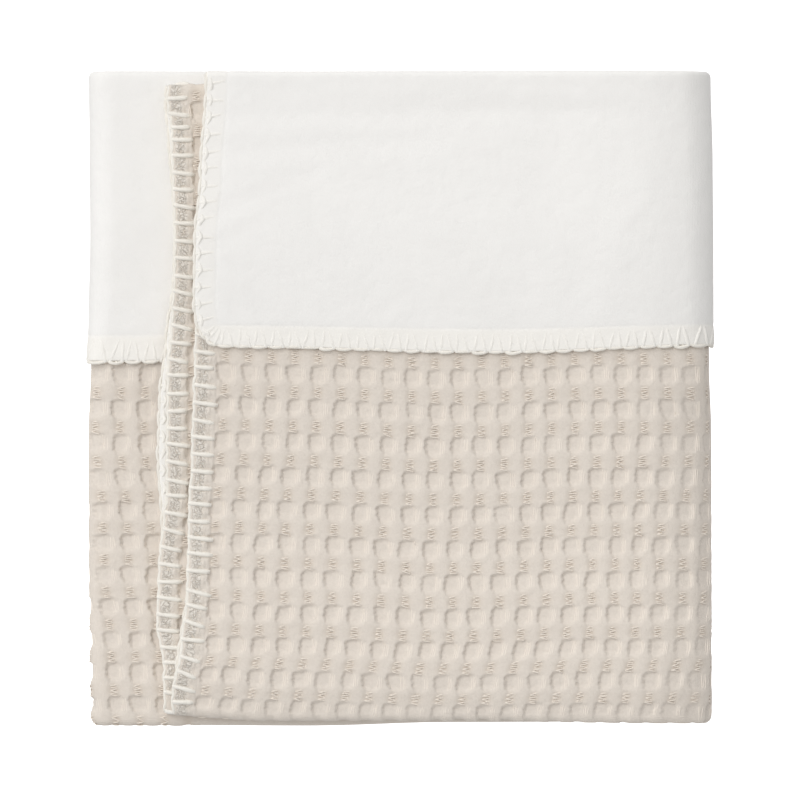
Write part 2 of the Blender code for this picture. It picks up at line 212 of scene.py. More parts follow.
LENGTHWISE = lengthwise_runs()
CROSSWISE = with_starts([{"run": name, "long": long} for name, long in ACROSS])


def named(name, runs):
    return next(run for run in runs if run["run"] == name)


def along_at(layer, place):
    """The position along the flat cloth of a place in a straight layer."""
    run = named(layer, LENGTHWISE)
    return run["start"] + abs(place - run["places"][0])


def across_at(panel, share):
    """The position across the flat cloth of a share of a panel."""
    run = named(panel, CROSSWISE)
    return run["start"] + share * run["long"]


def curve_points(table, at):
    """A table's rows as (position along or across the flat cloth, value) points, in order."""
    return [(at(run, place), value) for run, rows in table.items() for place, value in rows]


INNER_HEM_POINTS = curve_points(INNER_HEM, along_at)
TOP_HEM_POINTS = curve_points(TOP_HEM, along_at)
CUFF_HEM_POINTS = curve_points(CUFF_HEM, across_at)
TOP_SLIDE_POINTS = curve_points(TOP_SLIDES, across_at)
FRONT_SLIDE_POINTS = curve_points(FRONT_SLIDES, across_at)
LEFT_SIDES = [(along, left) for along, left, _ in SIDES]
RIGHT_SIDES = [(along, right) for along, _, right in SIDES]


def ramp(value, low, high):
    """0 below the low end, 1 past the high end, and a soft slope between."""
    share = np.clip((value - low) / (high - low), 0.0, 1.0)
    return share * share * (3.0 - 2.0 * share)


def soft_curve(points, position):
    """A soft curve through (position, value) points, level past its ends."""
    places, values = (np.array(column) for column in zip(*points))
    step = np.clip(np.searchsorted(places, position, side="right") - 1, 0, len(places) - 2)
    share = ramp(position, places[step], places[step + 1])
    return values[step] + (values[step + 1] - values[step]) * share


def run_at(position, runs):
    """The number of the run that each position lies in, and its share of the way through."""
    starts = np.array([run["start"] for run in runs])
    longs = np.array([run["long"] for run in runs])
    number = np.clip(np.searchsorted(starts, position, side="right") - 1, 0, len(runs) - 1)
    return number, (position - starts[number]) / longs[number]


def chosen(number, names, runs, choices):
    """For each point the choice of the run that it lies in."""
    order = [run["run"] for run in runs]
    return np.select([number == order.index(name) for name in names], choices)


def looseness(place):
    loose = LOW_LOOSE + (CUFF_LOOSE - LOW_LOOSE) * ramp(place, *CUFF_SLOPE)
    return loose + (1.0 - CUFF_LOOSE) * ramp(place, *TUCK_SLOPE)


def panel_heights(place):
    """Heights of the bottom, side, inner and top panels, each between its front and back layer."""
    loose = looseness(place)
    front_thick = LAYER * loose * (1.0 + ramp(place, *CUFF_SLOPE))
    back_thick = LAYER * loose * (1.0 + ramp(place, *TUCK_SLOPE))
    bottom = front_thick - 0.5 * CLOTH_GAP * loose
    side = bottom + 2.0 * back_thick
    inner = side + 2.0 * front_thick
    return bottom, side, inner, inner + 2.0 * back_thick


def cuff_place(across, share):
    """A place in the cuff, whose lowest part stretches to where the hem hangs."""
    place = CUFF_HEM_PLACE + (TOP_CENTRE - CUFF_HEM_PLACE) * share
    hem = soft_curve(CUFF_HEM_POINTS, across)
    stretch = (CUFF_LEVEL - hem) / (CUFF_LEVEL - CUFF_HEM_PLACE)
    return np.where(place >= CUFF_LEVEL, place, CUFF_LEVEL - (CUFF_LEVEL - place) * stretch)


def fold_along(across, along, rise):
    """Folds lengthwise: the place along the stack, and the distance off the bundle's middle."""
    number, share = run_at(along, LENGTHWISE)
    first = np.array([run["places"][0] for run in LENGTHWISE])[number]
    last = np.array([run["places"][1] for run in LENGTHWISE])[number]
    level = first + (last - first) * share
    sine, cosine = np.sin(math.pi * share), np.cos(math.pi * share)
    inward = 0.5 * LAYER - rise
    outward = 0.5 * LAYER + rise
    loose_outward = outward * LOW_LOOSE
    cuff = cuff_place(across, share)
    under = 0.5 + ramp(level, *TUCK_SLOPE)
    names = [run["run"] for run in LENGTHWISE]
    places = [
        cuff,
        TOP_CENTRE + inward * sine,
        level,
        FRONT_CENTRE - loose_outward * sine,
        level,
        BACK_CENTRE + outward * sine,
        level,
    ]
    offs = [
        (1.5 * LAYER - rise) * looseness(cuff),
        LAYER + inward * cosine,
        outward * looseness(level),
        loose_outward * cosine,
        -(under * LAYER + rise) * looseness(level),
        -LAYER - outward * cosine,
        (rise - 0.5 * LAYER) * looseness(level),
    ]
    return chosen(number, names, LENGTHWISE, places), chosen(number, names, LENGTHWISE, offs)


def outer_fold(share, centre, corner, off, bottom, top):
    """The outer fold's squarish profile, from the bottom panel up to the top panel."""
    first, last = OUTER_TURN_ENDS
    reach = corner + off
    low_turn = 0.5 * math.pi * share / first
    high_turn = 0.5 * math.pi * (share - last) / (1.0 - last)
    low, high = bottom + corner, top - corner
    level = low + (high - low) * (share - first) / (last - first)
    x = [centre + reach * np.sin(low_turn), centre + reach, centre + reach * np.cos(high_turn)]
    z = [low - reach * np.cos(low_turn), level, high + reach * np.sin(high_turn)]
    part = [share < first, share < last, share >= last]
    return np.select(part, x), np.select(part, z)


def fold_across(across, along, place, off):
    """Folds crosswise: the place across the stack and the height, at a distance off the middle."""
    number, share = run_at(across, CROSSWISE)
    bottom, side, inner, top = panel_heights(place)
    inner_radius = 0.5 * (inner - side)
    left_radius = 0.5 * (side - bottom)
    corner = left_radius + CORNER_SLACK * LAYER * looseness(place)
    right_side = soft_curve(RIGHT_SIDES, place)
    inner_centre = right_side - 2.0 * left_radius - NEST_GAP - inner_radius
    left_centre = soft_curve(LEFT_SIDES, place) + left_radius
    outer_centre = right_side - corner
    sine, cosine = np.sin(math.pi * share), np.cos(math.pi * share)
    inner_hem = soft_curve(INNER_HEM_POINTS, along)
    top_hem = soft_curve(TOP_HEM_POINTS, along)
    outer_x, outer_z = outer_fold(share, outer_centre, corner, off, bottom, top)
    names = [run["run"] for run in CROSSWISE]
    xs = [
        inner_hem + (inner_centre - inner_hem) * share,
        inner_centre + (inner_radius - off) * sine,
        inner_centre + (left_centre - inner_centre) * share,
        left_centre - (left_radius + off) * sine,
        left_centre + (outer_centre - left_centre) * share,
        outer_x,
        outer_centre + (top_hem - outer_centre) * share,
    ]
    zs = [
        inner - off,
        0.5 * (inner + side) + (inner_radius - off) * cosine,
        side + off,
        0.5 * (side + bottom) + (left_radius + off) * cosine,
        bottom - off,
        outer_z,
        top + off,
    ]
    return chosen(number, names, CROSSWISE, xs), chosen(number, names, CROSSWISE, zs)


def rounded(across, along):
    """Rounds the four corners of the flat cloth: each square about a corner becomes an arc."""
    from_left = across < 0.5 * WIDTH
    from_start = along < 0.5 * LENGTH
    a = CORNER_RADIUS - np.where(from_left, across, WIDTH - across)
    b = CORNER_RADIUS - np.where(from_start, along, LENGTH - along)
    corner = (a > 0.0) & (b > 0.0)
    shrink = np.where(corner, np.maximum(a, b) / np.maximum(np.hypot(a, b), 1e-9), 1.0)
    a = CORNER_RADIUS - a * shrink
    b = CORNER_RADIUS - b * shrink
    new_across = np.where(from_left, a, WIDTH - a)
    new_along = np.where(from_start, b, LENGTH - b)
    return np.where(corner, new_across, across), np.where(corner, new_along, along)


# Soft troughs (high below 0) and ridges in the stack's upper side. Each lies about a line through
# (x, y) of this half length, turned by this many degrees, and fades over this half width:
# (x, y, half length, half width, turn, high)
CREASES = (
    (6.0, 125.0, 84.0, 4.5, 1.0, -0.55),
    (-36.0, 111.0, 44.0, 4.5, 3.0, -0.45),
    (40.0, 134.0, 60.0, 4.0, -1.0, 0.30),
    (-60.0, 90.0, 22.0, 4.0, 24.0, -0.40),
    (-66.0, 76.0, 16.0, 3.0, 30.0, -0.30),
    (-75.5, 47.0, 12.0, 2.0, -62.0, -0.60),
    (-71.0, 44.0, 12.0, 2.0, -55.0, 0.50),
    (60.0, 80.0, 40.0, 9.0, 80.0, -0.35),
    (95.0, 60.0, 36.0, 7.0, 74.0, 0.35),
    (-112.0, 60.0, 44.0, 5.0, 88.0, -0.45),
    (10.0, -108.0, 125.0, 5.0, 0.0, -0.55),
    (30.0, -124.0, 110.0, 6.0, -1.0, 0.35),
    (-110.0, -116.0, 18.0, 5.0, 60.0, -0.60),
    (-60.0, -60.0, 40.0, 9.0, 84.0, 0.30),
    (70.0, -40.0, 50.0, 10.0, 78.0, -0.30),
    (20.0, 147.0, 150.0, 9.0, 0.0, 1.30),
    (-138.0, 0.0, 140.0, 9.0, 90.0, 1.20),
)
STACK_HIGH = 43.0
# Where the stack's upper side starts to fall away to the right and to the front, over which
# distance, by which share of its height, and how many times as much in the stack's front half
FALLS_RIGHT = ((82.0, 51.0, 0.13, 1.2), (106.0, 27.0, 0.08, 2.6))
FALLS_FRONT = ((82.0, 60.0, 0.16, 1.0), (118.0, 24.0, 0.11, 1.0))
# How far a fall runs on, as a share of its distance
FALL_END = 1.2
FRONT_HALF = (-20.0, 15.0)


def settled(x, y, z):
    """The height with the soft falls at the right and the front, the same share in every layer."""
    in_front = ramp(-y, *FRONT_HALF)
    lower = np.zeros_like(z)
    for way, falls in ((x, FALLS_RIGHT), (-y, FALLS_FRONT)):
        for start, over, share, front in falls:
            reached = np.clip((way - start) / over, 0.0, FALL_END)
            lower += share * (1.0 + (front - 1.0) * in_front) * reached**2
    return z * (1.0 - lower)


def creased(x, y, z):
    """The height with the creases, which fade towards the underside."""
    total = np.zeros_like(z)
    for middle_x, middle_y, half_long, half_wide, turn, high in CREASES:
        sine, cosine = math.sin(math.radians(turn)), math.cos(math.radians(turn))
        dx, dy = x - middle_x, y - middle_y
        length = dx * cosine + dy * sine
        width = dy * cosine - dx * sine
        past = np.maximum(np.abs(length) - half_long, 0.0) / (2.0 * half_wide)
        total += high * np.exp(-((width / half_wide) ** 2) - past**2)
    return z + total * (z / STACK_HIGH) ** 2


def fold(across, along, rise):
    """Points of the flat cloth at their places in the folded stack, in the fold's own frame."""
    across, along, rise = (np.asarray(values, float) for values in (across, along, rise))
    across, along = rounded(across, along)
    place, off = fold_along(across, along, rise)
    x, z = fold_across(across, along, place, off)
    y = place + soft_curve(TOP_SLIDE_POINTS, across) * ramp(place, HIGH_PLACE, TOP_CENTRE)
    y = y + soft_curve(FRONT_SLIDE_POINTS, across) * ramp(-place, -LOW_PLACE, -FRONT_CENTRE)
    middle = 0.5 * (panel_heights(place)[-1] + LAYER)
    belly = 1.0 - ((z - middle) / middle) ** 2
    x = x + SIDE_BULGE * belly * ramp(x, *BULGE_PLACES)
    return np.stack([x, y, settled(x, y, creased(x, y, z))], axis=-1)


def middle_of_lining():
    """The middle in plan of the lining, as folded here and as its solid lies."""
    across, along = np.meshgrid(np.linspace(0.0, WIDTH, 500), np.linspace(0.0, LENGTH, 1500))
    outer = -0.5 * LAYER_CLOTH
    sides = [fold(across, along, np.full_like(across, rise)) for rise in (outer, outer + LINING_THICK)]
    points = np.array(sides).reshape(-1, 3)
    low, high = (np.array(corner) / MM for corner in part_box("lining_cloth"))
    return 0.5 * (points.min(0) + points.max(0)), 0.5 * (low + high)


FOLDED_MIDDLE, SOLID_MIDDLE = middle_of_lining()


def placed(points):
    """Points in the fold's frame, in the row frame and in metres."""
    shift = SOLID_MIDDLE - FOLDED_MIDDLE
    return (points + np.array([shift[0], shift[1], 0.0])) * MM


# ---------------------------------------------------------------- sizes and colours


class WeaveSizes(bpy.types.PropertyGroup):
    """The waffle weave's cells and threads"""

    cell_wide: bpy.props.FloatProperty(
        name="Cell Width", description="Distance between two columns of waffles",
        default=0.01035, min=0.004, unit="LENGTH", subtype="DISTANCE")
    cell_long: bpy.props.FloatProperty(
        name="Cell Length", description="Distance between two rows of waffles",
        default=0.0151, min=0.006, unit="LENGTH", subtype="DISTANCE")
    pocket_deep: bpy.props.FloatProperty(
        name="Pocket Depth", description="How far a pocket lies below the ridges round it",
        default=0.0015, min=0.0, unit="LENGTH", subtype="DISTANCE")
    thread_thick: bpy.props.FloatProperty(
        name="Thread Thickness", description="Thickness of the threads that float over the ridges",
        default=0.00056, min=0.0002, unit="LENGTH", subtype="DISTANCE")
    unevenness: bpy.props.FloatProperty(
        name="Unevenness", description="How much the cells differ from one another",
        default=1.0, min=0.0, max=2.0, subtype="FACTOR")
    seed: bpy.props.IntProperty(
        name="Seed", description="Picks the weave's chance differences", default=7, min=0)


class EdgingSizes(bpy.types.PropertyGroup):
    """The blanket stitches round the edge"""

    pitch: bpy.props.FloatProperty(
        name="Stitch Pitch", description="Distance between two stitches",
        default=0.0075, min=0.003, unit="LENGTH", subtype="DISTANCE")
    reach: bpy.props.FloatProperty(
        name="Stitch Reach", description="How far a stitch runs in from the edge",
        default=0.0084, min=0.002, unit="LENGTH", subtype="DISTANCE")
    yarn_thick: bpy.props.FloatProperty(
        name="Yarn Thickness", description="Thickness of the stitches that cross the hem",
        default=0.0021, min=0.0005, unit="LENGTH", subtype="DISTANCE")
    rope_thick: bpy.props.FloatProperty(
        name="Rope Thickness", description="Thickness of the yarn that runs along the edge",
        default=0.0016, min=0.0005, unit="LENGTH", subtype="DISTANCE")
    seed: bpy.props.IntProperty(
        name="Seed", description="Picks how the stitches differ", default=11, min=0)


class BlanketColours(bpy.types.PropertyGroup):
    """The cloths' and the yarn's colours"""

    waffle: bpy.props.FloatVectorProperty(
        name="Waffle Cotton", description="Colour of the woven face",
        default=(0.782, 0.718, 0.645), size=3, min=0.0, max=1.0, subtype="COLOR")
    lining: bpy.props.FloatVectorProperty(
        name="Lining", description="Colour of the plain lining",
        default=(0.90, 0.885, 0.86), size=3, min=0.0, max=1.0, subtype="COLOR")
    yarn: bpy.props.FloatVectorProperty(
        name="Edging Yarn", description="Colour of the stitches and of the edge's rope",
        default=(0.885, 0.85, 0.785), size=3, min=0.0, max=1.0, subtype="COLOR")
    loops: bpy.props.FloatVectorProperty(
        name="Lining Stitches", description="Colour of the stitches that show on the lining",
        default=(0.925, 0.90, 0.855), size=3, min=0.0, max=1.0, subtype="COLOR")


class StageSizes(bpy.types.PropertyGroup):
    """The camera, the lights and the floor"""

    view_wide: bpy.props.FloatProperty(
        name="View Width", description="Width of the view at the stack's middle height",
        default=0.3532, min=0.05, unit="LENGTH", subtype="DISTANCE")
    camera_high: bpy.props.FloatProperty(
        name="Camera Height", description="Height of the camera over the floor",
        default=5.0, min=0.5, unit="LENGTH", subtype="DISTANCE")
    key_strength: bpy.props.FloatProperty(
        name="Key Light", description="Strength of the soft light from the upper left",
        default=1.45, min=0.0)
    key_soft: bpy.props.FloatProperty(
        name="Key Softness", description="Angle across the soft light, as seen from the blanket",
        default=math.radians(50.0), min=0.0, unit="ROTATION", subtype="ANGLE")
    key_high: bpy.props.FloatProperty(
        name="Key Elevation", description="How high the soft light stands over the floor",
        default=math.radians(54.0), min=0.1, unit="ROTATION", subtype="ANGLE")
    sky: bpy.props.FloatProperty(
        name="Fill", description="Strength of the white light from all round",
        default=0.61, min=0.0, subtype="FACTOR")
    sky_slope: bpy.props.FloatProperty(
        name="Fill Slope", description="How much stronger the fill is from the key light's side",
        default=0.08, min=0.0, max=1.0, subtype="FACTOR")
    floor: bpy.props.FloatVectorProperty(
        name="Floor", description="Colour of the floor",
        default=(0.96, 0.96, 0.96), size=3, min=0.0, max=1.0, subtype="COLOR")


# ---------------------------------------------------------------- the weave


def weave_cells(across, along):
    """The weave's columns and rows at points of the flat cloth, counted in cells."""
    sizes = bpy.context.scene.blanket_weave
    place, _ = fold_along(across, along, np.zeros_like(across))
    front, back = named("front layer", LENGTHWISE), named("back layer", LENGTHWISE)
    on_front = ramp(along, *(front["start"] + past for past in LEAN_STARTS))
    on_front = on_front * (1.0 - ramp(along, *(back["start"] + past for past in LEAN_ENDS)))
    share = run_at(across, CROSSWISE[-1:])[1]
    on_top = ramp(across, across_at("bottom panel", 0.6), across_at("top panel", 0.0))
    on_side = ramp(across, across_at("side panel", 0.5), across_at("side panel", 0.75))
    past_side = ramp(across, across_at("bottom panel", 0.1), across_at("bottom panel", 0.6))
    on_side = on_side * (1.0 - past_side)
    on_strip = 1.0 - ramp(across, STRIP_WIDE, across_at("inner panel", 1.0))
    outer_centre = RIGHT_SIDES[0][1] - LAYER * LOW_LOOSE
    hem = soft_curve(TOP_HEM_POINTS, along)
    stretch = (outer_centre - hem - CROSSWISE[-1]["long"]) * np.clip(share, 0.0, 1.0)
    x = outer_centre + (hem - outer_centre) * np.clip(share, 0.0, None)
    bow = soft_curve(HEM_BOW, place) * soft_curve(BOW_FADE, x)
    top_lean = stretch - soft_curve(COLUMN_LEAN, place) - bow
    lean = top_lean * on_top - soft_curve(SIDE_LEAN, place) * on_side
    sag = soft_curve(ROW_SAG, x) * on_top + soft_curve(SIDE_SAG, place) * on_side
    sag = sag - soft_curve(FRONT_GATHER, place)
    slide = soft_curve(TOP_SLIDE_POINTS, across) * ramp(place, HIGH_PLACE, TOP_CENTRE) * on_strip
    strip_lean = soft_curve(STRIP_LEAN, place) * on_strip
    column = (across + lean * on_front - strip_lean) * MM / sizes.cell_wide + CELL_START[0]
    row = (along - sag * on_front + slide) * MM / sizes.cell_long + CELL_START[1]
    return column, row


CELL_TABLE = 128
CHANCE_SIZES = {"column": 0.030, "row": 0.022, "wide": 0.07, "long": 0.05, "deep": 0.16, "tilt": 0.10}


def cell_chances():
    """Tables of each cell's differences from the even one."""
    sizes = bpy.context.scene.blanket_weave
    chance = np.random.default_rng(sizes.seed)
    shape = (CELL_TABLE, CELL_TABLE)
    return {
        name: chance.normal(0.0, size * sizes.unevenness, shape).clip(-2.0 * size, 2.0 * size)
        for name, size in CHANCE_SIZES.items()
    }


# A pocket's half sizes: to its steep side, to its easy side, and along
POCKET_STEEP_HALF = 3.5
POCKET_EASY_HALF = 5.1
POCKET_EASY_MORE = 0.5
POCKET_HALF_LONG = 4.95
# How wide its walls are, and from where to where towards its easy side the start's wall widens
STEEP_WALL = 1.0
STEEP_WALL_MORE = 2.6
WALL_WIDENS = (1.8, 4.2)
EASY_SIDE_WALL = 4.4
EASY_END_WALL = 5.0
# How the pocket's start slants, and how far its start and its end lie off the even ones
START_RISE = 0.20
START_IN = 0.3
END_OUT = 1.0
# How much each side draws in towards the pocket's end and its start: (most, from, to)
STEEP_DRAWN_IN = ((1.7, 0.8, 5.4), (0.6, 2.2, 5.0))
EASY_DRAWN_IN = ((1.5, 1.5, 5.5), (1.1, 2.6, 5.0))
RIDGE_RISE = 0.55
DEEPEST = 1.45
WALL_WAVE = 0.30
WALL_WAVE_LONG = 2.7
# How far each cell's own chances along and across shift the wave of its wall
WAVE_SHIFTS = (9.0, 5.0)
# Columns up to here are turned by half a turn, with narrower pockets
TURNED_COLUMNS = 5.0
TURNED_NARROW = 0.8
# How far the ladders of threads and the ridges between pockets dip, and their half sizes
LADDER_DIP = 0.75
LADDER_HALF = (2.3, 2.9)
LADDER_AHEAD = 0.5
RIDGE_DIP = 0.10
RIDGE_HALF = (1.2, 3.6)


def drawn_in(half, y, towards_end, towards_start):
    """A pocket's half width, less towards its end and its start."""
    for way, (most, low, high) in ((y, towards_end), (-y, towards_start)):
        half = half - most * ramp(way, low, high)
    return half


def waffle_relief(column, row):
    """Heights over the even face, and how much each point is part of a ladder of threads, which the
    material darkens as painted shade.

    Each pocket falls steeply at its left and at its start, as the top panel lies, and rises easily
    to its right and its end. Its left wall slants in to the ladder of threads at its end. On the
    inner panel, which lies the other way round, the pockets are turned by half a turn."""
    sizes = bpy.context.scene.blanket_weave
    tables = cell_chances()
    i, j = np.floor(column), np.floor(row)
    pick = (i.astype(int) % CELL_TABLE, j.astype(int) % CELL_TABLE)
    at = {name: table[pick] for name, table in tables.items()}
    in_column, in_row = column - i - 0.5, row - j - 0.5
    wide, long = sizes.cell_wide / MM, sizes.cell_long / MM
    turned = np.where(column < TURNED_COLUMNS, -1.0, 1.0)
    y = (in_row - at["row"]) * long * turned
    x = (in_column - at["column"]) * wide * turned + at["tilt"] * y
    wave = y / WALL_WAVE_LONG + WAVE_SHIFTS[0] * at["row"] + WAVE_SHIFTS[1] * at["column"]
    steep_half = POCKET_STEEP_HALF * (1.0 + at["wide"]) + WALL_WAVE * np.sin(2.0 * math.pi * wave)
    steep_half = drawn_in(steep_half, y, *STEEP_DRAWN_IN)
    steep_half = steep_half - np.where(turned < 0.0, TURNED_NARROW, 0.0)
    easy_half = POCKET_EASY_HALF * (1.0 + at["wide"]) + POCKET_EASY_MORE
    easy_half = drawn_in(easy_half, y, *EASY_DRAWN_IN)
    half_long = POCKET_HALF_LONG * (1.0 + at["long"])
    start_wall = STEEP_WALL + STEEP_WALL_MORE * ramp(-x, *WALL_WIDENS)
    pocket = ramp(steep_half - x, 0.0, STEEP_WALL) * ramp(easy_half + x, 0.0, EASY_SIDE_WALL)
    pocket = pocket * ramp((half_long - START_IN - START_RISE * x + y) / start_wall, 0.0, 1.0)
    pocket = pocket * ramp(half_long + END_OUT - y, 0.0, EASY_END_WALL)
    from_row_end = (0.5 - np.abs(in_row)) * long * np.sign(in_row) + LADDER_AHEAD * turned
    from_column_end = (0.5 - np.abs(in_column)) * wide
    ladder = np.exp(-((in_column * wide / LADDER_HALF[0]) ** 2) - (from_row_end / LADDER_HALF[1]) ** 2)
    ridge = np.exp(-((from_column_end / RIDGE_HALF[0]) ** 2) - (in_row * long / RIDGE_HALF[1]) ** 2)
    deep = np.minimum(sizes.pocket_deep / MM * (1.0 + at["deep"]), DEEPEST)
    height = RIDGE_RISE - pocket * deep
    height = height - (LADDER_DIP * ladder + RIDGE_DIP * ridge) * (1.0 - pocket)
    return height, ladder * (1.0 - pocket)


# ---------------------------------------------------------------- cloth meshes


def grid_lines(spans):
    """Grid lines through spans of (start, step, cells to one on the hidden side), and an end.

    Returns the lines, and the numbers of those that the hidden side keeps."""
    lines, kept = [spans[0][0]], [0]
    for (start, step, every), after in zip(spans, spans[1:]):
        end = after[0]
        count = max(1, math.ceil((end - start) / step / every)) * every
        lines.extend(np.linspace(start, end, count + 1)[1:])
        kept.extend(range(kept[-1] + every, kept[-1] + count + 1, every))
    return np.array(lines), np.array(kept)


def wall_faces(shown, hidden, kept):
    """Faces between an edge of the shown side and the same edge of the hidden side."""
    faces = []
    for step, (a, b) in enumerate(zip(kept, kept[1:])):
        faces.append([hidden[step], hidden[step + 1], *shown[a : b + 1][::-1]])
    return faces


# How far a rim lies out, and over which distance from it
RIM_OUT = 0.5
RIM_FADE = 2.2


def to_rims(across, along):
    """Moves the cloth's rims out under the rope."""
    moved = []
    for value, total in ((across, WIDTH), (along, LENGTH)):
        past = ramp(value, total - RIM_FADE, total) - ramp(-value, -RIM_FADE, 0.0)
        moved.append(value + RIM_OUT * past)
    return moved


def two_sided_mesh(name, across, along, shown_rise, hidden_rise, flipped):
    """A closed cloth mesh: a fine shown side and a plainer hidden side, joined by walls.

    across and along are (lines, kept lines), and shown_rise is a grid of heights."""
    (x_lines, x_kept), (y_lines, y_kept) = across, along
    columns, rows = len(x_lines), len(y_lines)
    x, y = np.meshgrid(x_lines, y_lines)
    shown = np.arange(columns * rows).reshape(rows, columns)
    hidden_x, hidden_y = np.meshgrid(x_lines[x_kept], y_lines[y_kept])
    hidden = columns * rows + np.arange(hidden_x.size).reshape(hidden_x.shape)
    points = np.concatenate([
        fold(*to_rims(x, y), shown_rise).reshape(-1, 3),
        fold(*to_rims(hidden_x, hidden_y), np.full_like(hidden_x, hidden_rise)).reshape(-1, 3),
    ])
    points[:, 2] = np.maximum(points[:, 2], 0.0)
    top = np.stack([shown[:-1, :-1], shown[:-1, 1:], shown[1:, 1:], shown[1:, :-1]], -1)
    under = np.stack([hidden[:-1, :-1], hidden[1:, :-1], hidden[1:, 1:], hidden[:-1, 1:]], -1)
    walls = wall_faces(shown[0], hidden[0], x_kept)
    walls += wall_faces(shown[:, -1], hidden[:, -1], y_kept)
    walls += wall_faces(shown[-1][::-1], hidden[-1][::-1], (columns - 1 - x_kept)[::-1])
    walls += wall_faces(shown[::-1, 0], hidden[::-1, 0], (rows - 1 - y_kept)[::-1])
    quads = np.concatenate([top.reshape(-1, 4), under.reshape(-1, 4)])
    if flipped:
        quads = quads[:, ::-1]
        walls = [wall[::-1] for wall in walls]
    flat = np.concatenate([
        np.stack([x.ravel(), y.ravel()], -1),
        np.stack([hidden_x.ravel(), hidden_y.ravel()], -1),
    ])
    return mesh_of(name, placed(points), quads, walls), flat, shown.size


def mesh_of(name, points, quads, others):
    """A mesh of smooth-shaded quads and of other, flat-shaded faces."""
    corners = np.concatenate([quads.ravel(), *[np.array(face) for face in others]]).astype(np.int32)
    sizes = np.concatenate([np.full(len(quads), 4), [len(face) for face in others]]).astype(np.int32)
    mesh = bpy.data.meshes.new(name)
    mesh.vertices.add(len(points))
    mesh.vertices.foreach_set("co", points.astype(np.float32).ravel())
    mesh.loops.add(len(corners))
    mesh.loops.foreach_set("vertex_index", corners)
    mesh.polygons.add(len(sizes))
    mesh.polygons.foreach_set("loop_start", (np.cumsum(sizes) - sizes).astype(np.int32))
    smooth = np.arange(len(sizes)) < len(quads)
    mesh.polygons.foreach_set("use_smooth", smooth)
    mesh.update(calc_edges=True)
    mesh.validate()
    return mesh


def keep_on_points(mesh, name, values):
    layer = mesh.attributes.new(name, "FLOAT", "POINT")
    layer.data.foreach_set("value", values.astype(np.float32))


def keep_as_uv(mesh, name, values):
    """A UV map whose corners take their points' values."""
    corners = np.zeros(len(mesh.loops), np.int32)
    mesh.loops.foreach_get("vertex_index", corners)
    layer = mesh.uv_layers.new(name=name)
    layer.data.foreach_set("uv", values[corners].astype(np.float32).ravel())


def from_side_hem(across):
    return np.minimum(across, WIDTH - across)


def from_rim(across, along):
    return np.minimum(from_side_hem(across), np.minimum(along, LENGTH - along))


def rim_drop(across, along):
    """How far the shown side turns down towards the rims of the cut cloth."""
    inside = np.clip(from_rim(across, along) / ROLL, 0.0, 1.0)
    return ROLL * (1.0 - np.sqrt(1.0 - (1.0 - inside) ** 2))


def finished(mesh, material):
    """The mesh as an object that rides on the blanket's one body."""
    piece = bpy.data.objects.new(mesh.name, mesh)
    bpy.context.scene.collection.objects.link(piece)
    mesh.materials.append(material)
    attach(piece, BODY)
    return piece


# ---------------------------------------------------------------- the woven face

# Steps of the shown cloth across and along, and how many of them make one on the hidden side
FINE = (0.54, 0.66, 4)
MEDIUM = (1.72, 1.68, 2)
# The side hems' band has closer lines, up to this far from the rim
BAND_STEP = 0.38
BAND_LINES = 10.2
COARSE = 12.0
FOLD_STEP = 0.7
# The rims are rounded over this distance
ROLL = 0.6
ROLL_STEP = 0.15
# The relief sets in between these places along the front layer, under the cuff's hem, and fades
# out over this distance past the front fold
COVERED_PLACE = 30.0
SHOWN_PLACE = 25.0
BACK_REACH = 8.0
# How much of the relief the front fold presses away, and from where to where, past its start
FOLD_PRESS = 0.20
PRESSED = (-2.5, 1.5)
# Over this distance past the front fold the inner panel's relief sets in, in a strip this wide
LOOK_IN = 12.0
STRIP_WIDE = 25.0
STRIP_FADE = 8.0

# The woven face is in five meshes, which meet at these places across it
SIDE_CUT, BOTTOM_CUT, TOP_CUT, MIDDLE_CUT = 226.8, 495.9, 744.3, 874.0
# A last narrow column at each cut keeps the shading even across it
CUT_COLUMN = 0.03
# Where the side panel's shown strip starts, and over which distance its relief sets in
STRIP_START = across_at("left fold", 0.0) - 42.0
STRIP_START_FADE = 6.0


def cloth_spans(shown):
    """Lines along the cloth: the shown spans, and coarse ones before and after them."""
    return [
        (0.0, ROLL_STEP, 2),
        (ROLL, COARSE, 1),
        (along_at("cuff", TOP_CENTRE), FOLD_STEP, 1),
        (along_at("front layer", TOP_CENTRE), COARSE, 1),
        *shown,
        (along_at("back layer", BACK_CENTRE), FOLD_STEP, 1),
        (along_at("tuck", BACK_CENTRE), COARSE, 1),
        (LENGTH - ROLL, ROLL_STEP, 2),
        (LENGTH, 0.0, 1),
    ]


def front_layer_spans(steps):
    """Lines along the cloth that are fine where the front layer shows, and coarse elsewhere."""
    _, step, every = steps
    return cloth_spans([
        (along_at("front layer", COVERED_PLACE), step, every),
        (along_at("back layer", FRONT_CENTRE) + BACK_REACH, COARSE, 1),
    ])


def back_layer_spans(steps):
    """Lines along the cloth that are fine where the inner panel's back layer shows."""
    _, step, every = steps
    return cloth_spans([
        (along_at("front layer", FRONT_CENTRE), FOLD_STEP, 1),
        (along_at("back layer", FRONT_CENTRE), step, every),
    ])


def front_mask(_, along):
    """1 where the front layer shows, less at its fold, and 0 under the cuff and under the stack."""
    back_start = along_at("back layer", FRONT_CENTRE)
    start = along_at("front layer", COVERED_PLACE)
    end = along_at("front layer", SHOWN_PLACE)
    fold_start = named("front fold", LENGTHWISE)["start"]
    pressed = 1.0 - FOLD_PRESS * ramp(along, *(fold_start + past for past in PRESSED))
    return pressed * ramp(along, start, end) * (1.0 - ramp(along, back_start, back_start + BACK_REACH))


def side_mask(across, along):
    """1 where the side panel's front layer shows."""
    return front_mask(across, along) * ramp(across, STRIP_START, STRIP_START + STRIP_START_FADE)


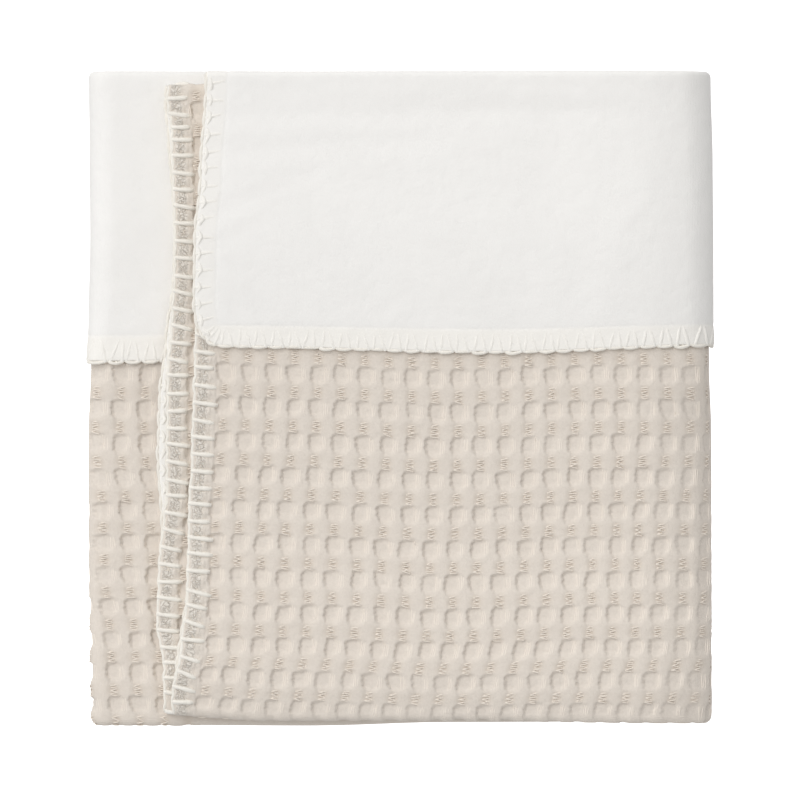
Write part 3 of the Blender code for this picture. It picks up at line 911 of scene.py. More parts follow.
def strip_mask(across, along):
    """1 where the inner panel's back layer shows, from the front fold to its own fold."""
    start = along_at("back layer", FRONT_CENTRE)
    on_strip = 1.0 - ramp(across, STRIP_WIDE - STRIP_FADE, STRIP_WIDE)
    return ramp(along, start, start + LOOK_IN) * on_strip


# The side hems, by the distance from the rim: how much relief is left there and where it sets in
# again, where the band puffs out and ends, and the middles and half widths of its ridge and seam
HEM_RELIEF = 0.15
HEM_ENDS = (6.3, 8.4)
BAND_PUFF = 0.45
PUFF_RISES, PUFF_ENDS = (0.2, 1.6), (7.0, 8.8)
BAND_RIDGE = 0.40
RIDGE_PLACE = (5.8, 0.9)
BAND_SEAM = 0.28
SEAM_AT_STITCH = 0.4
SEAM_PLACE = (8.9, 0.55)
OFF_FOLD = 6.0
# Where the yarn in the band sets in, thins by this share, and ends
YARN_STARTS, YARN_THINS, YARN_ENDS = (0.3, 1.2), (4.2, 5.6), (7.6, 8.8)
YARN_THINNED = 0.75


def hem_press(across):
    """How much of the relief is left where the stitches press the hem."""
    return HEM_RELIEF + (1.0 - HEM_RELIEF) * ramp(from_side_hem(across), *HEM_ENDS)


def bell(distance, middle, half_wide):
    return np.exp(-(((distance - middle) / half_wide) ** 2))


def hem_band(across, along):
    """The side hems' band: puffed between each two stitches, with a ridge, and sunk at its seam."""
    pitch = LENGTH / round(LENGTH * MM / bpy.context.scene.blanket_edging.pitch)
    between = 0.5 + 0.5 * np.cos(2.0 * math.pi * along / pitch)
    from_hem = from_side_hem(across)
    puff = BAND_PUFF * ramp(from_hem, *PUFF_RISES) * (1.0 - ramp(from_hem, *PUFF_ENDS))
    ridge = BAND_RIDGE * bell(from_hem, *RIDGE_PLACE)
    seam = BAND_SEAM * bell(from_hem, *SEAM_PLACE)
    return (puff + ridge) * between - seam * (SEAM_AT_STITCH + (1.0 - SEAM_AT_STITCH) * between)


def off_folds(along):
    """1 along the shown straight layers, and 0 at the folds at their ends."""
    front_fold, back_fold = named("front fold", LENGTHWISE), named("back layer fold", LENGTHWISE)
    back = named("back layer", LENGTHWISE)
    before_front = 1.0 - ramp(along, front_fold["start"] - OFF_FOLD, front_fold["start"])
    before_back = ramp(along, back["start"], back["start"] + OFF_FOLD)
    past_back = ramp(along, back_fold["start"] - OFF_FOLD, back_fold["start"])
    return before_front + before_back * (1.0 - past_back)


def band_share(across):
    """How much yarn the side hems' band shows: most beside the rope, little past the bars' middles."""
    from_hem = from_side_hem(across)
    less = 1.0 - YARN_THINNED * ramp(from_hem, *YARN_THINS)
    return ramp(from_hem, *YARN_STARTS) * less * (1.0 - ramp(from_hem, *YARN_ENDS))


def from_cut(cut, steps):
    """Lines across the cloth from a cut onwards."""
    return [(cut, CUT_COLUMN, 1), (cut + CUT_COLUMN, steps[0], steps[2])]


def up_to_cut(cut):
    """The last lines across the cloth before a cut."""
    return [(cut - CUT_COLUMN, CUT_COLUMN, 1), (cut, 0.0, 1)]


WAFFLE_PANELS = (
    {
        "name": "waffle_inner_panel",
        "across": [
            (0.0, ROLL_STEP, 4),
            (ROLL, BAND_STEP, 4),
            (BAND_LINES, FINE[0], FINE[2]),
            (STRIP_WIDE, COARSE, 1),
            (SIDE_CUT, 0.0, 1),
        ],
        "along": back_layer_spans(FINE),
        "mask": strip_mask,
    },
    {
        "name": "waffle_side_panel",
        "across": [
            (SIDE_CUT, COARSE, 1),
            (STRIP_START, FINE[0], FINE[2]),
            *up_to_cut(BOTTOM_CUT),
        ],
        "along": front_layer_spans(FINE),
        "mask": side_mask,
    },
    {
        "name": "waffle_bottom_panel",
        "across": from_cut(BOTTOM_CUT, MEDIUM) + up_to_cut(TOP_CUT),
        "along": front_layer_spans(MEDIUM),
        "mask": front_mask,
    },
    {
        "name": "waffle_top_panel",
        "across": from_cut(TOP_CUT, FINE) + up_to_cut(MIDDLE_CUT),
        "along": front_layer_spans(FINE),
        "mask": front_mask,
    },
    {
        "name": "waffle_hem_panel",
        "across": [
            *from_cut(MIDDLE_CUT, FINE),
            (WIDTH - BAND_LINES, BAND_STEP, 4),
            (WIDTH - ROLL, ROLL_STEP, 4),
            (WIDTH, 0.0, 1),
        ],
        "along": front_layer_spans(FINE),
        "mask": front_mask,
    },
)


def weave_panel(panel, material):
    """One panel of the woven face, with its relief where it shows."""
    across, along = grid_lines(panel["across"]), grid_lines(panel["along"])
    x, y = np.meshgrid(across[0], along[0])
    column, row = weave_cells(x, y)
    relief, ladder = waffle_relief(column, row)
    in_sight = panel["mask"](x, y)
    mask = in_sight * hem_press(x)
    top = 0.5 * LAYER_CLOTH
    rise = top + relief * mask + hem_band(x, y) * in_sight * off_folds(y) - rim_drop(x, y)
    bottom = top - WAFFLE_THICK
    mesh, flat, shown = two_sided_mesh(panel["name"], across, along, rise, bottom, False)
    cells = np.stack(weave_cells(flat[:, 0], flat[:, 1]), -1)
    keep_as_uv(mesh, "weave", cells)
    plain = np.zeros(len(flat) - shown)
    # The ladder share carries the painted shade under the ladders of threads
    keep_on_points(mesh, "ladder", np.concatenate([(ladder * mask).ravel(), plain]))
    band = band_share(x) * in_sight
    keep_on_points(mesh, "band", np.concatenate([band.ravel(), plain]))
    piece = finished(mesh, material)
    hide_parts("waffle_cloth")
    return piece


# ---------------------------------------------------------------- materials


class Shading:
    """Adds and links nodes in a material's tree."""

    def __init__(self, name):
        self.material = bpy.data.materials.new(name)
        self.material.use_nodes = True
        self.tree = self.material.node_tree
        self.shader = self.tree.nodes["Principled BSDF"]

    def add(self, kind, **settings):
        node = self.tree.nodes.new(kind)
        for name, value in settings.items():
            setattr(node, name, value)
        return node

    def feed(self, socket, value):
        if isinstance(value, bpy.types.NodeSocket):
            self.tree.links.new(value, socket)
        else:
            socket.default_value = value

    def math(self, operation, *values):
        node = self.add("ShaderNodeMath", operation=operation)
        for socket, value in zip(node.inputs, values):
            self.feed(socket, value)
        return node.outputs[0]

    def mapped(self, value, low, high, new_low, new_high):
        node = self.add("ShaderNodeMapRange", interpolation_type="SMOOTHSTEP")
        for socket, item in zip(node.inputs, (value, low, high, new_low, new_high)):
            self.feed(socket, item)
        return node.outputs[0]

    def attribute(self, name):
        return self.add("ShaderNodeAttribute", attribute_name=name).outputs["Fac"]

    def noise(self, vector, scale, detail=2.0):
        node = self.add("ShaderNodeTexNoise")
        self.feed(node.inputs["Vector"], vector)
        node.inputs["Scale"].default_value = scale
        node.inputs["Detail"].default_value = detail
        return node.outputs["Fac"]

    def mix(self, factor, first, second, blend="MIX"):
        node = self.add("ShaderNodeMix", data_type="RGBA", blend_type=blend)
        self.feed(node.inputs["Factor"], factor)
        self.feed(node.inputs["A"], first)
        self.feed(node.inputs["B"], second)
        return node.outputs["Result"]

    def bump(self, height, distance, before=None):
        node = self.add("ShaderNodeBump")
        node.inputs["Distance"].default_value = distance
        self.feed(node.inputs["Height"], height)
        if before is not None:
            self.feed(node.inputs["Normal"], before)
        return node.outputs["Normal"]

    def uv(self, name):
        """The two coordinates of a UV map."""
        split = self.add("ShaderNodeSeparateXYZ")
        self.feed(split.inputs[0], self.add("ShaderNodeUVMap", uv_map=name).outputs["UV"])
        return split.outputs["X"], split.outputs["Y"]

    def object_place(self):
        return self.add("ShaderNodeTexCoord").outputs["Object"]

    def shades(self, factor, colour, dark, light):
        """A mix of a darker and a lighter shade of a colour."""
        return self.mix(factor, tinted(colour, dark), tinted(colour, light))

    def woven(self, place, across, along, threads, thread_high, deep, fuzz):
        """Normals of a fine plain weave with some fuzz. threads are counts in one unit of the UVs."""
        waves = [
            self.math("SINE", self.math("MULTIPLY", way, 2.0 * math.pi * count))
            for way, count in zip((across, along), threads)
        ]
        weave = self.math("MULTIPLY", self.math("ADD", *waves), thread_high)
        return self.bump(self.math("ADD", weave, self.noise(place, fuzz)), deep)

    def surface(self, colour, levels, normal=None):
        """Sets the shader's colour, its other even inputs and its normals."""
        self.feed(self.shader.inputs["Base Color"], colour)
        for name, level in levels.items():
            self.shader.inputs[name].default_value = level
        if normal is not None:
            self.feed(self.shader.inputs["Normal"], normal)


def tinted(colour, factor):
    return tuple(min(1.0, channel * part) for channel, part in zip(colour, factor)) + (1.0,)


def evenly(factor):
    return (factor, factor, factor)


# How many mm one unit of the lining's UVs spans
LINING_UV = 10.0
# The curls of yarn in the side hems' band, whose lines are sunk and darkened as painted shade: scale of
# their noise, half width of a line, and strength
CURLS = ((430.0, 0.055, 0.8), (820.0, 0.05, 0.6))


def waffle_material():
    """Matt cotton: fine plain weave, slightly mottled, with painted shade under the ladders of threads
    and along the curls in the side hems' band.
    """
    colours = bpy.context.scene.blanket_colours
    shade = Shading("waffle_cotton")
    place = shade.object_place()
    column, row = shade.uv("weave")
    base = shade.shades(shade.noise(place, 55.0, 3.0), colours.waffle, (0.97, 0.955, 0.95), evenly(1.03))
    fleck = shade.mapped(shade.noise(place, 900.0), 0.35, 0.7, 0.0, 0.5)
    base = shade.mix(fleck, base, tinted(colours.waffle, (0.93, 0.92, 0.91)))
    # Painted shade: the ground under the ladders of threads is darkened where their threads shade it
    base = shade.mix(shade.attribute("ladder"), base, tinted(colours.waffle, (0.84, 0.80, 0.76)))
    band = shade.attribute("band")
    base = shade.mix(shade.math("MULTIPLY", band, 0.5), base, (*colours.yarn, 1.0))
    curls = []
    for scale, half_wide, strength in CURLS:
        off_line = shade.math("ABSOLUTE", shade.math("SUBTRACT", shade.noise(place, scale, 1.5), 0.5))
        curls.append(shade.mapped(off_line, 0.0, half_wide, strength, 0.0))
    curl = shade.math("MULTIPLY", shade.math("MAXIMUM", *curls), band)
    # Painted shade: the curls' lines are darkened where they sink into the band
    curl_shade = shade.math("MULTIPLY", curl, 0.65)
    base = shade.mix(curl_shade, base, tinted(colours.waffle, (0.83, 0.77, 0.69)))
    normal = shade.woven(place, column, row, (22.0, 32.0), 0.12, 0.00018, 1600.0)
    normal = shade.bump(shade.noise(place, 160.0), 0.0007, normal)
    normal = shade.bump(shade.math("SUBTRACT", 1.0, curl), 0.0004, normal)
    levels = {
        "Roughness": 0.92,
        "Specular IOR Level": 0.2,
        "Sheen Weight": 0.12,
        "Sheen Roughness": 0.5,
    }
    shade.surface(base, levels, normal)
    return shade.material


def lit_thread_material():
    """The waffle cotton's loose threads, a little paler than its ground as painted light on the raised
    threads.
    """
    shade = Shading("waffle_threads")
    # Painted light: the raised threads are a paler copy of the cotton's colour
    colour = tinted(bpy.context.scene.blanket_colours.waffle, evenly(1.12))
    shade.surface(colour, {"Roughness": 0.9, "Specular IOR Level": 0.2})
    return shade.material


def from_edge(shade, way, size):
    """The distance from the nearer of two opposite edges, in the lining's UV units of 10 mm."""
    return shade.math("MINIMUM", way, shade.math("SUBTRACT", size / LINING_UV, way))


def lining_material():
    """Plain white cotton, softly brushed over a fine even weave, creamier at its hems."""
    colours = bpy.context.scene.blanket_colours
    shade = Shading("lining_cotton")
    place = shade.object_place()
    across, along = shade.uv("weave")
    base = shade.shades(shade.noise(place, 40.0, 3.0), colours.lining, evenly(0.975), evenly(1.02))
    side_tint = shade.mapped(from_edge(shade, across, WIDTH), 0.75, 0.95, 0.25, 0.0)
    end_tint = shade.mapped(from_edge(shade, along, LENGTH), 0.75, 1.0, 0.5, 0.0)
    hem_tone = tinted(colours.yarn, evenly(1.055))
    base = shade.mix(shade.math("MAXIMUM", side_tint, end_tint), base, hem_tone)
    normal = shade.woven(place, across, along, (20.0, 28.0), 0.10, 0.00012, 1200.0)
    normal = shade.bump(shade.noise(place, 120.0), 0.0006, normal)
    shade.surface(base, {"Roughness": 0.9, "Specular IOR Level": 0.2, "Sheen Weight": 0.15}, normal)
    return shade.material


def yarn_material(name, colour):
    """Soft cotton yarn, slightly mottled."""
    shade = Shading(name)
    place = shade.object_place()
    base = shade.shades(shade.noise(place, 500.0), colour, (0.94, 0.935, 0.92), evenly(1.03))
    normal = shade.bump(shade.noise(place, 1500.0), 0.00025)
    shade.surface(base, {"Roughness": 0.85, "Specular IOR Level": 0.25, "Sheen Weight": 0.2}, normal)
    return shade.material


# ---------------------------------------------------------------- the lining


# From where to where, from the rim, the lines lie close because the stitches draw the lining in
GROOVE = (7.9, 9.9)
GROOVE_STEP = 0.45
# How far before the left fold the lining is fine again
LINING_STRIP = 46.0


def lining_spans_across():
    return [
        (0.0, ROLL_STEP, 1),
        (ROLL, 2.2, 1),
        (GROOVE[0], GROOVE_STEP, 1),
        (GROOVE[1], COARSE, 1),
        (across_at("inner fold", 0.0), 2.0, 1),
        (across_at("side panel", 0.0), COARSE, 1),
        (across_at("left fold", 0.0) - LINING_STRIP, 2.6, 2),
        (across_at("left fold", 0.0), 1.6, 2),
        (across_at("bottom panel", 0.0), COARSE, 1),
        (across_at("outer fold", 0.0), 1.3, 2),
        (across_at("top panel", 0.0), 2.6, 2),
        (WIDTH - GROOVE[1], GROOVE_STEP, 1),
        (WIDTH - GROOVE[0], 1.8, 1),
        (WIDTH - ROLL, ROLL_STEP, 1),
        (WIDTH, 0.0, 1),
    ]


def lining_spans_along():
    return [
        (0.0, ROLL_STEP, 1),
        (ROLL, 1.8, 1),
        (GROOVE[0], GROOVE_STEP, 1),
        (GROOVE[1], 2.6, 2),
        (along_at("cuff", TOP_CENTRE), 0.6, 2),
        (along_at("front layer", TOP_CENTRE), COARSE, 1),
        (along_at("front layer", FRONT_CENTRE), 1.0, 2),
        (along_at("back layer", FRONT_CENTRE), COARSE, 1),
        (along_at("back layer", BACK_CENTRE), 1.0, 2),
        (along_at("tuck", BACK_CENTRE), COARSE, 1),
        (LENGTH - ROLL, ROLL_STEP, 1),
        (LENGTH, 0.0, 1),
    ]


# The seam's distance from the rim and its half width
LINING_SEAM = (8.9, 0.6)
LINING_SEAM_DEEP = 0.14


def seam_groove(across, along):
    """The line where the stitches' ends draw the lining in, all round the hem."""
    return LINING_SEAM_DEEP * bell(from_rim(across, along), *LINING_SEAM)


def lining_sheet(material):
    """The whole lining in one sheet."""
    across, along = grid_lines(lining_spans_across()), grid_lines(lining_spans_along())
    x, y = np.meshgrid(across[0], along[0])
    top = 0.5 * LAYER_CLOTH
    rise = -top + rim_drop(x, y) + seam_groove(x, y)
    mesh, flat, _ = two_sided_mesh(
        "lining_cloth_sheet", across, along, rise, LINING_THICK - top, True)
    keep_as_uv(mesh, "weave", flat / LINING_UV)
    piece = finished(mesh, material)
    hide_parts("lining_cloth")
    return piece


# ---------------------------------------------------------------- laid yarn

# How many sides the yarn and the thin threads have
YARN_SIDES, THREAD_SIDES = 8, 4


def yarn_tree():
    """Geometry Nodes that lay a round yarn along every chain of edges."""
    tree = bpy.data.node_groups.new("laid_yarn", "GeometryNodeTree")
    tree.is_modifier = True
    face = tree.interface
    face.new_socket("Paths", in_out="INPUT", socket_type="NodeSocketGeometry")
    thick = face.new_socket("Yarn Thickness", in_out="INPUT", socket_type="NodeSocketFloat")
    thick.subtype = "DISTANCE"
    face.new_socket("Sides", in_out="INPUT", socket_type="NodeSocketInt")
    face.new_socket("Yarn", in_out="OUTPUT", socket_type="NodeSocketGeometry")
    add = tree.nodes.new
    given, result = add("NodeGroupInput"), add("NodeGroupOutput")
    to_curve = add("GeometryNodeMeshToCurve")
    girth = add("GeometryNodeInputNamedAttribute")
    girth.inputs["Name"].default_value = "girth"
    half = add("ShaderNodeMath")
    half.operation = "MULTIPLY"
    half.inputs[1].default_value = 0.5
    ring = add("GeometryNodeCurvePrimitiveCircle")
    tube = add("GeometryNodeCurveToMesh")
    tube.inputs["Fill Caps"].default_value = True
    smooth = add("GeometryNodeSetShadeSmooth")
    real = add("GeometryNodeRealizeInstances")
    for source, target in (
        (given.outputs["Paths"], to_curve.inputs["Mesh"]),
        (to_curve.outputs["Curve"], tube.inputs["Curve"]),
        (girth.outputs["Attribute"], tube.inputs["Scale"]),
        (given.outputs["Yarn Thickness"], half.inputs[0]),
        (half.outputs[0], ring.inputs["Radius"]),
        (given.outputs["Sides"], ring.inputs["Resolution"]),
        (ring.outputs["Curve"], tube.inputs["Profile Curve"]),
        (tube.outputs["Mesh"], smooth.inputs["Geometry"]),
        (smooth.outputs["Geometry"], real.inputs["Geometry"]),
        (real.outputs["Geometry"], result.inputs["Yarn"]),
    ):
        tree.links.new(source, target)
    return tree


def lay_yarn(name, chains, thickness, sides, tree):
    """Lays yarn along chains of (points, girths, closed), and returns the plain mesh."""
    points = np.concatenate([chain[0] for chain in chains])
    girths = np.concatenate([chain[1] for chain in chains])
    points[:, 2] = np.maximum(points[:, 2], 0.5 * girths * thickness / MM)
    edges, start = [], 0
    for chain_points, _, closed in chains:
        count = len(chain_points)
        numbers = np.arange(start, start + count)
        pairs = np.stack([numbers[:-1], numbers[1:]], -1)
        if closed:
            pairs = np.concatenate([pairs, [[numbers[-1], numbers[0]]]])
        edges.append(pairs)
        start += count
    edges = np.concatenate(edges).astype(np.int32)
    paths = bpy.data.meshes.new(name + "_paths")
    paths.vertices.add(len(points))
    paths.vertices.foreach_set("co", placed(points).astype(np.float32).ravel())
    paths.edges.add(len(edges))
    paths.edges.foreach_set("vertices", edges.ravel())
    keep_on_points(paths, "girth", girths)
    guide = bpy.data.objects.new(name + "_paths", paths)
    bpy.context.scene.collection.objects.link(guide)
    modifier = guide.modifiers.new("yarn", "NODES")
    modifier.node_group = tree
    values = {"Yarn Thickness": thickness, "Sides": sides}
    for item in tree.interface.items_tree:
        if item.name in values:
            modifier[item.identifier] = values[item.name]
    graph = bpy.context.evaluated_depsgraph_get()
    mesh = bpy.data.meshes.new_from_object(guide.evaluated_get(graph))
    mesh.name = name
    bpy.data.objects.remove(guide, do_unlink=True)
    bpy.data.meshes.remove(paths)
    return mesh


# ---------------------------------------------------------------- the stitched edge

# The cloth's sides in order round its rim: (start, direction, way out, length)
RIM_SIDES = (
    ((0.0, 0.0), (1.0, 0.0), (0.0, -1.0), WIDTH),
    ((WIDTH, 0.0), (0.0, 1.0), (1.0, 0.0), LENGTH),
    ((WIDTH, LENGTH), (-1.0, 0.0), (0.0, 1.0), WIDTH),
    ((0.0, LENGTH), (0.0, -1.0), (-1.0, 0.0), LENGTH),
)
# How far the rope lies out from the rim, how far it swings out between two stitches, and how much
# of that swing is taken off its distance
ROPE_OUT = 0.75
SIDE_SCALLOP = 0.40
END_SCALLOP = 0.75
SCALLOP_BACK = 0.6
SCALLOP_ROUND = 0.7
SCALLOP_CHANCE = 0.35
ROPE_STEPS = 6
ROPE_LIFT = 0.45
ROPE_RISE = 0.15
ROPE_GIRTH = (0.88, 0.16)
ROPE_CHANCES = {"rise": 0.10, "out": 0.06, "girth": 0.03}
# How much the stitches slant: on the side hems, for the hem's own drift, and near a corner, where
# they fan out over this distance
SIDE_SLANT = 0.07
SLOPE_SLANT = 1.3
CORNER_FAN = 11.0
STITCH_CHANCES = {"slip": 0.35, "reach": 0.05, "slant": 0.07}


def perimeter(spacing):
    """Positions round the rim of the flat cloth: (across, along, outward) rows, in order."""
    rows = []
    for (x, y), (right, up), out, length in RIM_SIDES:
        count = round(length / spacing)
        for share in (np.arange(count) + 0.5) / count:
            rows.append((x + right * length * share, y + up * length * share, *out))
    return np.array(rows)


def rope_chain(sizes):
    """The rope's scalloped path round the rim."""
    chance = np.random.default_rng(sizes.seed)
    x, y, rise, girth = [], [], [], []
    for start, direction, out_way, length in RIM_SIDES:
        count = round(length / (sizes.pitch / MM))
        steps = count * ROPE_STEPS
        phase = np.arange(steps) / ROPE_STEPS
        swing = np.abs(np.sin(math.pi * phase)) ** SCALLOP_ROUND
        wander = chance.normal(0.0, ROPE_CHANCES["rise"], steps)
        scallop = SIDE_SCALLOP if out_way[0] else END_SCALLOP
        bump = np.repeat(chance.normal(1.0, SCALLOP_CHANCE, count), ROPE_STEPS)
        out = ROPE_OUT - SCALLOP_BACK * scallop + scallop * swing * bump
        out = out + chance.normal(0.0, ROPE_CHANCES["out"], steps)
        run = -out + (length + 2.0 * out) * (np.arange(steps) / steps)
        x.append(start[0] + direction[0] * run + out_way[0] * out)
        y.append(start[1] + direction[1] * run + out_way[1] * out)
        rise.append(ROPE_RISE * np.cos(2.0 * math.pi * phase) + wander)
        uneven = chance.normal(0.0, ROPE_CHANCES["girth"], steps)
        girth.append(ROPE_GIRTH[0] + ROPE_GIRTH[1] * swing + uneven)
    x, y, rise, girth = (np.concatenate(values) for values in (x, y, rise, girth))
    lift = ROPE_LIFT * (seen_on_waffle(x, y).astype(float) - seen_on_lining(x, y))
    return [(fold(x, y, rise + lift), girth, True)]


# A hem's drift is taken between points this far before and after
DRIFT_REACH = 6.0


def hem_slope(x, y):
    """How far a side hem drifts outwards over each millimetre along it."""
    before, after = y - DRIFT_REACH, y + DRIFT_REACH
    left = soft_curve(INNER_HEM_POINTS, after) - soft_curve(INNER_HEM_POINTS, before)
    right = soft_curve(TOP_HEM_POINTS, before) - soft_curve(TOP_HEM_POINTS, after)
    return np.where(x < 0.5 * WIDTH, -left, right) / (2.0 * DRIFT_REACH)


def stitch_places(sizes):
    """Each stitch's place on the rim, its way in, and how much it slants along the rim."""
    chance = np.random.default_rng(sizes.seed + 1)
    rows = perimeter(sizes.pitch / MM)
    slip, longer, slant = (chance.normal(0.0, size, len(rows)) for size in STITCH_CHANCES.values())
    reach = sizes.reach / MM * (1.0 + longer)
    x, y, out_x, out_y = rows.T
    on_side = np.abs(out_x) > 0.5
    drift = np.maximum(out_x * hem_slope(x, y), 0.0)
    slant += np.where(on_side, SIDE_SLANT + SLOPE_SLANT * drift, 0.0)
    start = np.where(on_side, y, x)
    length = np.where(on_side, LENGTH, WIDTH)
    near = np.clip(1.0 - np.minimum(start, length - start) / CORNER_FAN, 0.0, 1.0)
    away = np.where(start < 0.5 * length, 1.0, -1.0)
    onward = np.where(on_side, out_x, -out_y)
    slant = slant * (1.0 - near) + near * away * onward
    return rows, slip * (1.0 - near), reach, slant


def seen_on_waffle(x, y):
    """Whether the woven side of a hem shows: the top panel's in front, the inner panel's behind."""
    back_start = along_at("back layer", FRONT_CENTRE)
    front = (y > along_at("front layer", COVERED_PLACE)) & (y < back_start)
    back = (y > back_start) & (y < along_at("tuck", BACK_CENTRE))
    return ((x > 0.5 * WIDTH) & front) | ((x < 0.5 * WIDTH) & back)


# Between these places along the stack the inner panel's hem looks out beside the top panel's
INNER_LOOKS_OUT = (64.0, -96.0)


def seen_on_lining(x, y):
    """Whether the lining side of a hem shows: round the cuff, and where the inner panel looks out."""
    lower = (y < 1.0) & (x > across_at("side panel", 0.5))
    cuff = (x > 0.5 * WIDTH) & (y < along_at("cuff", TOP_CENTRE))
    first, last = (along_at("front layer", place) for place in INNER_LOOKS_OUT)
    return lower | cuff | ((x < 0.5 * WIDTH) & (y > first) & (y < last))


def off_rim(row, inward, aside):
    """Points of the flat cloth at distances in from a place on the rim and aside along it."""
    x, y, out_x, out_y = row
    return x - out_x * inward - out_y * aside, y - out_y * inward + out_x * aside


# A stitch from the rim in: (share of its reach, rise over the cloths' middle, share of its girth)
BAR_SHAPE = (
    (-0.14, 0.65, 0.55),
    (-0.05, 1.15, 0.62),
    (0.10, 1.40, 0.75),
    (0.30, 1.55, 0.92),
    (0.53, 1.62, 1.05),
    (0.76, 1.60, 1.08),
    (0.92, 1.40, 0.95),
    (1.0, 0.95, 0.60),
)
LOOP_SHAPE = (
    (-0.12, 0.15, 0.80),
    (0.00, 0.28, 1.08),
    (0.35, 0.31, 1.14),
    (0.80, 0.24, 1.08),
    (1.03, 0.08, 0.78),
)
# How much lower a stitch lies where it doesn't show
HIDDEN_SINK = 0.95
LOOP_SPREAD = 2.5
PAIR_MEETS = 0.75
# A short turn of yarn beside the rope: (aside, in from the rim, rise, share of the girth)
KNOT_SHAPE = (
    (-3.4, 0.5, 0.55, 0.55),
    (-1.8, 1.2, 0.78, 0.80),
    (0.0, 1.9, 0.85, 0.95),
    (1.8, 1.3, 0.78, 0.85),
    (3.4, 0.6, 0.55, 0.55),
)
KNOT_CHANCES = {"aside": 0.08, "inward": 0.25, "rise": 0.10, "girth": 0.06}


def bar_chain(row, slip, reach, slant, face, spread, shape):
    """A stitch's path from the rim in over the hem. face is 1 on the woven side, -1 on the lining.

    spread is how far aside the stitch starts, and slant how far aside it ends."""
    share, rise, girth = np.array(shape).T
    inward = share * reach
    aside = slip + slant * inward + spread * (1.0 - PAIR_MEETS * np.clip(share, 0.0, 1.0))
    shown = seen_on_waffle(*row[:2]) if face > 0 else seen_on_lining(*row[:2])
    rise = rise - (0.0 if shown else HIDDEN_SINK)
    return fold(*off_rim(row, inward, aside), rise * face), girth, False


def bar_chains(sizes):
    """The bars that cross the hem on the woven side."""
    return [bar_chain(*values, 1, 0.0, BAR_SHAPE) for values in zip(*stitch_places(sizes))]


def loop_chains(sizes):
    """The threads on the lining side: a pair that draws together along the cuff, a bar elsewhere."""
    chains = []
    for values in zip(*stitch_places(sizes)):
        along_cuff = values[0][3] < -0.5
        spreads = (-LOOP_SPREAD, LOOP_SPREAD) if along_cuff else (0.0,)
        chains.extend(bar_chain(*values, -1, spread, LOOP_SHAPE) for spread in spreads)
    return chains


def knot_chains(sizes):
    """The short turns of yarn that lie beside the rope on the side hems' lining."""
    chance = np.random.default_rng(sizes.seed + 2)
    rows, slip, _, _ = stitch_places(sizes)
    chains = []
    for row, start in zip(rows, slip):
        aside, inward, rise, girth = np.array(KNOT_SHAPE).T
        aside = start + aside * (1.0 + chance.normal(0.0, KNOT_CHANCES["aside"]))
        inward = inward + chance.normal(0.0, KNOT_CHANCES["inward"], len(aside))
        rise = rise + chance.normal(0.0, KNOT_CHANCES["rise"], len(aside))
        girth = girth + chance.normal(0.0, KNOT_CHANCES["girth"], len(aside))
        if row[2] and seen_on_lining(*row[:2]):
            chains.append((fold(*off_rim(row, inward, aside), -rise), girth, False))
    return chains


# ---------------------------------------------------------------- floating threads

# The threads that cross each ladder, and those that run along each ridge between two pockets
LADDER_THREADS = 6
LADDER_PITCH = 0.94
LADDER_REACH = 1.75
LADDER_ZIGZAG = 0.20
FLOAT_THREADS = 3
FLOAT_PITCH = 0.8
FLOAT_ASIDE = 1.3
FLOAT_REACH = 3.4
FLOAT_STEPS = np.linspace(-1.0, 1.0, 4)
LADDER_CHANCES = {"off": 0.12, "reach": 0.12, "tilt": 0.08}
FLOAT_CHANCES = {"off": 0.12, "reach": 0.10, "tilt": 0.06}
# How deep the threads' ends lie in the cloth, and how high the threads arch
FLOAT_SINK = 0.22
FLOAT_ARCH, BRIDGE_ARCH = 0.13, 0.12
FLOAT_GIRTH = (0.75, 0.3)
# How far from the rims the threads start on the top panel and on the inner panel's strip, and how
# far they keep off the hidden edges of the side panel's strip and of the inner panel's
BAND_END = 8.6
STRIP_BAND_END = 7.6
SIDE_PANEL_BLANK = 8.0
STRIP_BLANK = 5.0
CELL_SEARCH_STEPS = 4


def flat_of_cells(columns, rows):
    """Points of the flat cloth at places in the weave, found by stepping from near ones."""
    sizes = bpy.context.scene.blanket_weave
    wide, long = sizes.cell_wide / MM, sizes.cell_long / MM
    x, y = (columns - CELL_START[0]) * wide, (rows - CELL_START[1]) * long
    for _ in range(CELL_SEARCH_STEPS):
        column, row = weave_cells(x, y)
        x += (columns - column) * wide
        y += (rows - row) * long
    return x, y


def cell_threads(i, j, chance):
    """The loose threads at one cell: (columns, rows, 1 for one that bridges a ladder, 0 otherwise)."""
    sizes = bpy.context.scene.blanket_weave
    wide, long = sizes.cell_wide / MM, sizes.cell_long / MM
    threads = []
    for number in range(LADDER_THREADS):
        off = (number - 0.5 * (LADDER_THREADS - 1)) * LADDER_PITCH
        off += chance.normal(0.0, LADDER_CHANCES["off"])
        off += LADDER_AHEAD if i > TURNED_COLUMNS else -LADDER_AHEAD
        reach = LADDER_REACH * (1.0 + chance.normal(0.0, LADDER_CHANCES["reach"]))
        tilt = LADDER_ZIGZAG * (-1.0) ** number + chance.normal(0.0, LADDER_CHANCES["tilt"])
        slope = tilt * FLOAT_STEPS * reach
        threads.append((i + 0.5 + FLOAT_STEPS * reach / wide, j + (off + slope) / long, 1.0))
    for number in range(FLOAT_THREADS):
        off = (number - 0.5 * (FLOAT_THREADS - 1)) * FLOAT_PITCH
        off += chance.normal(0.0, FLOAT_CHANCES["off"])
        off += FLOAT_ASIDE
        reach = FLOAT_REACH * (1.0 + chance.normal(0.0, FLOAT_CHANCES["reach"]))
        slope = chance.normal(0.0, FLOAT_CHANCES["tilt"]) * FLOAT_STEPS * reach
        threads.append((i + (off + slope) / wide, j + 0.5 + FLOAT_STEPS * reach / long, 0.0))
    return threads


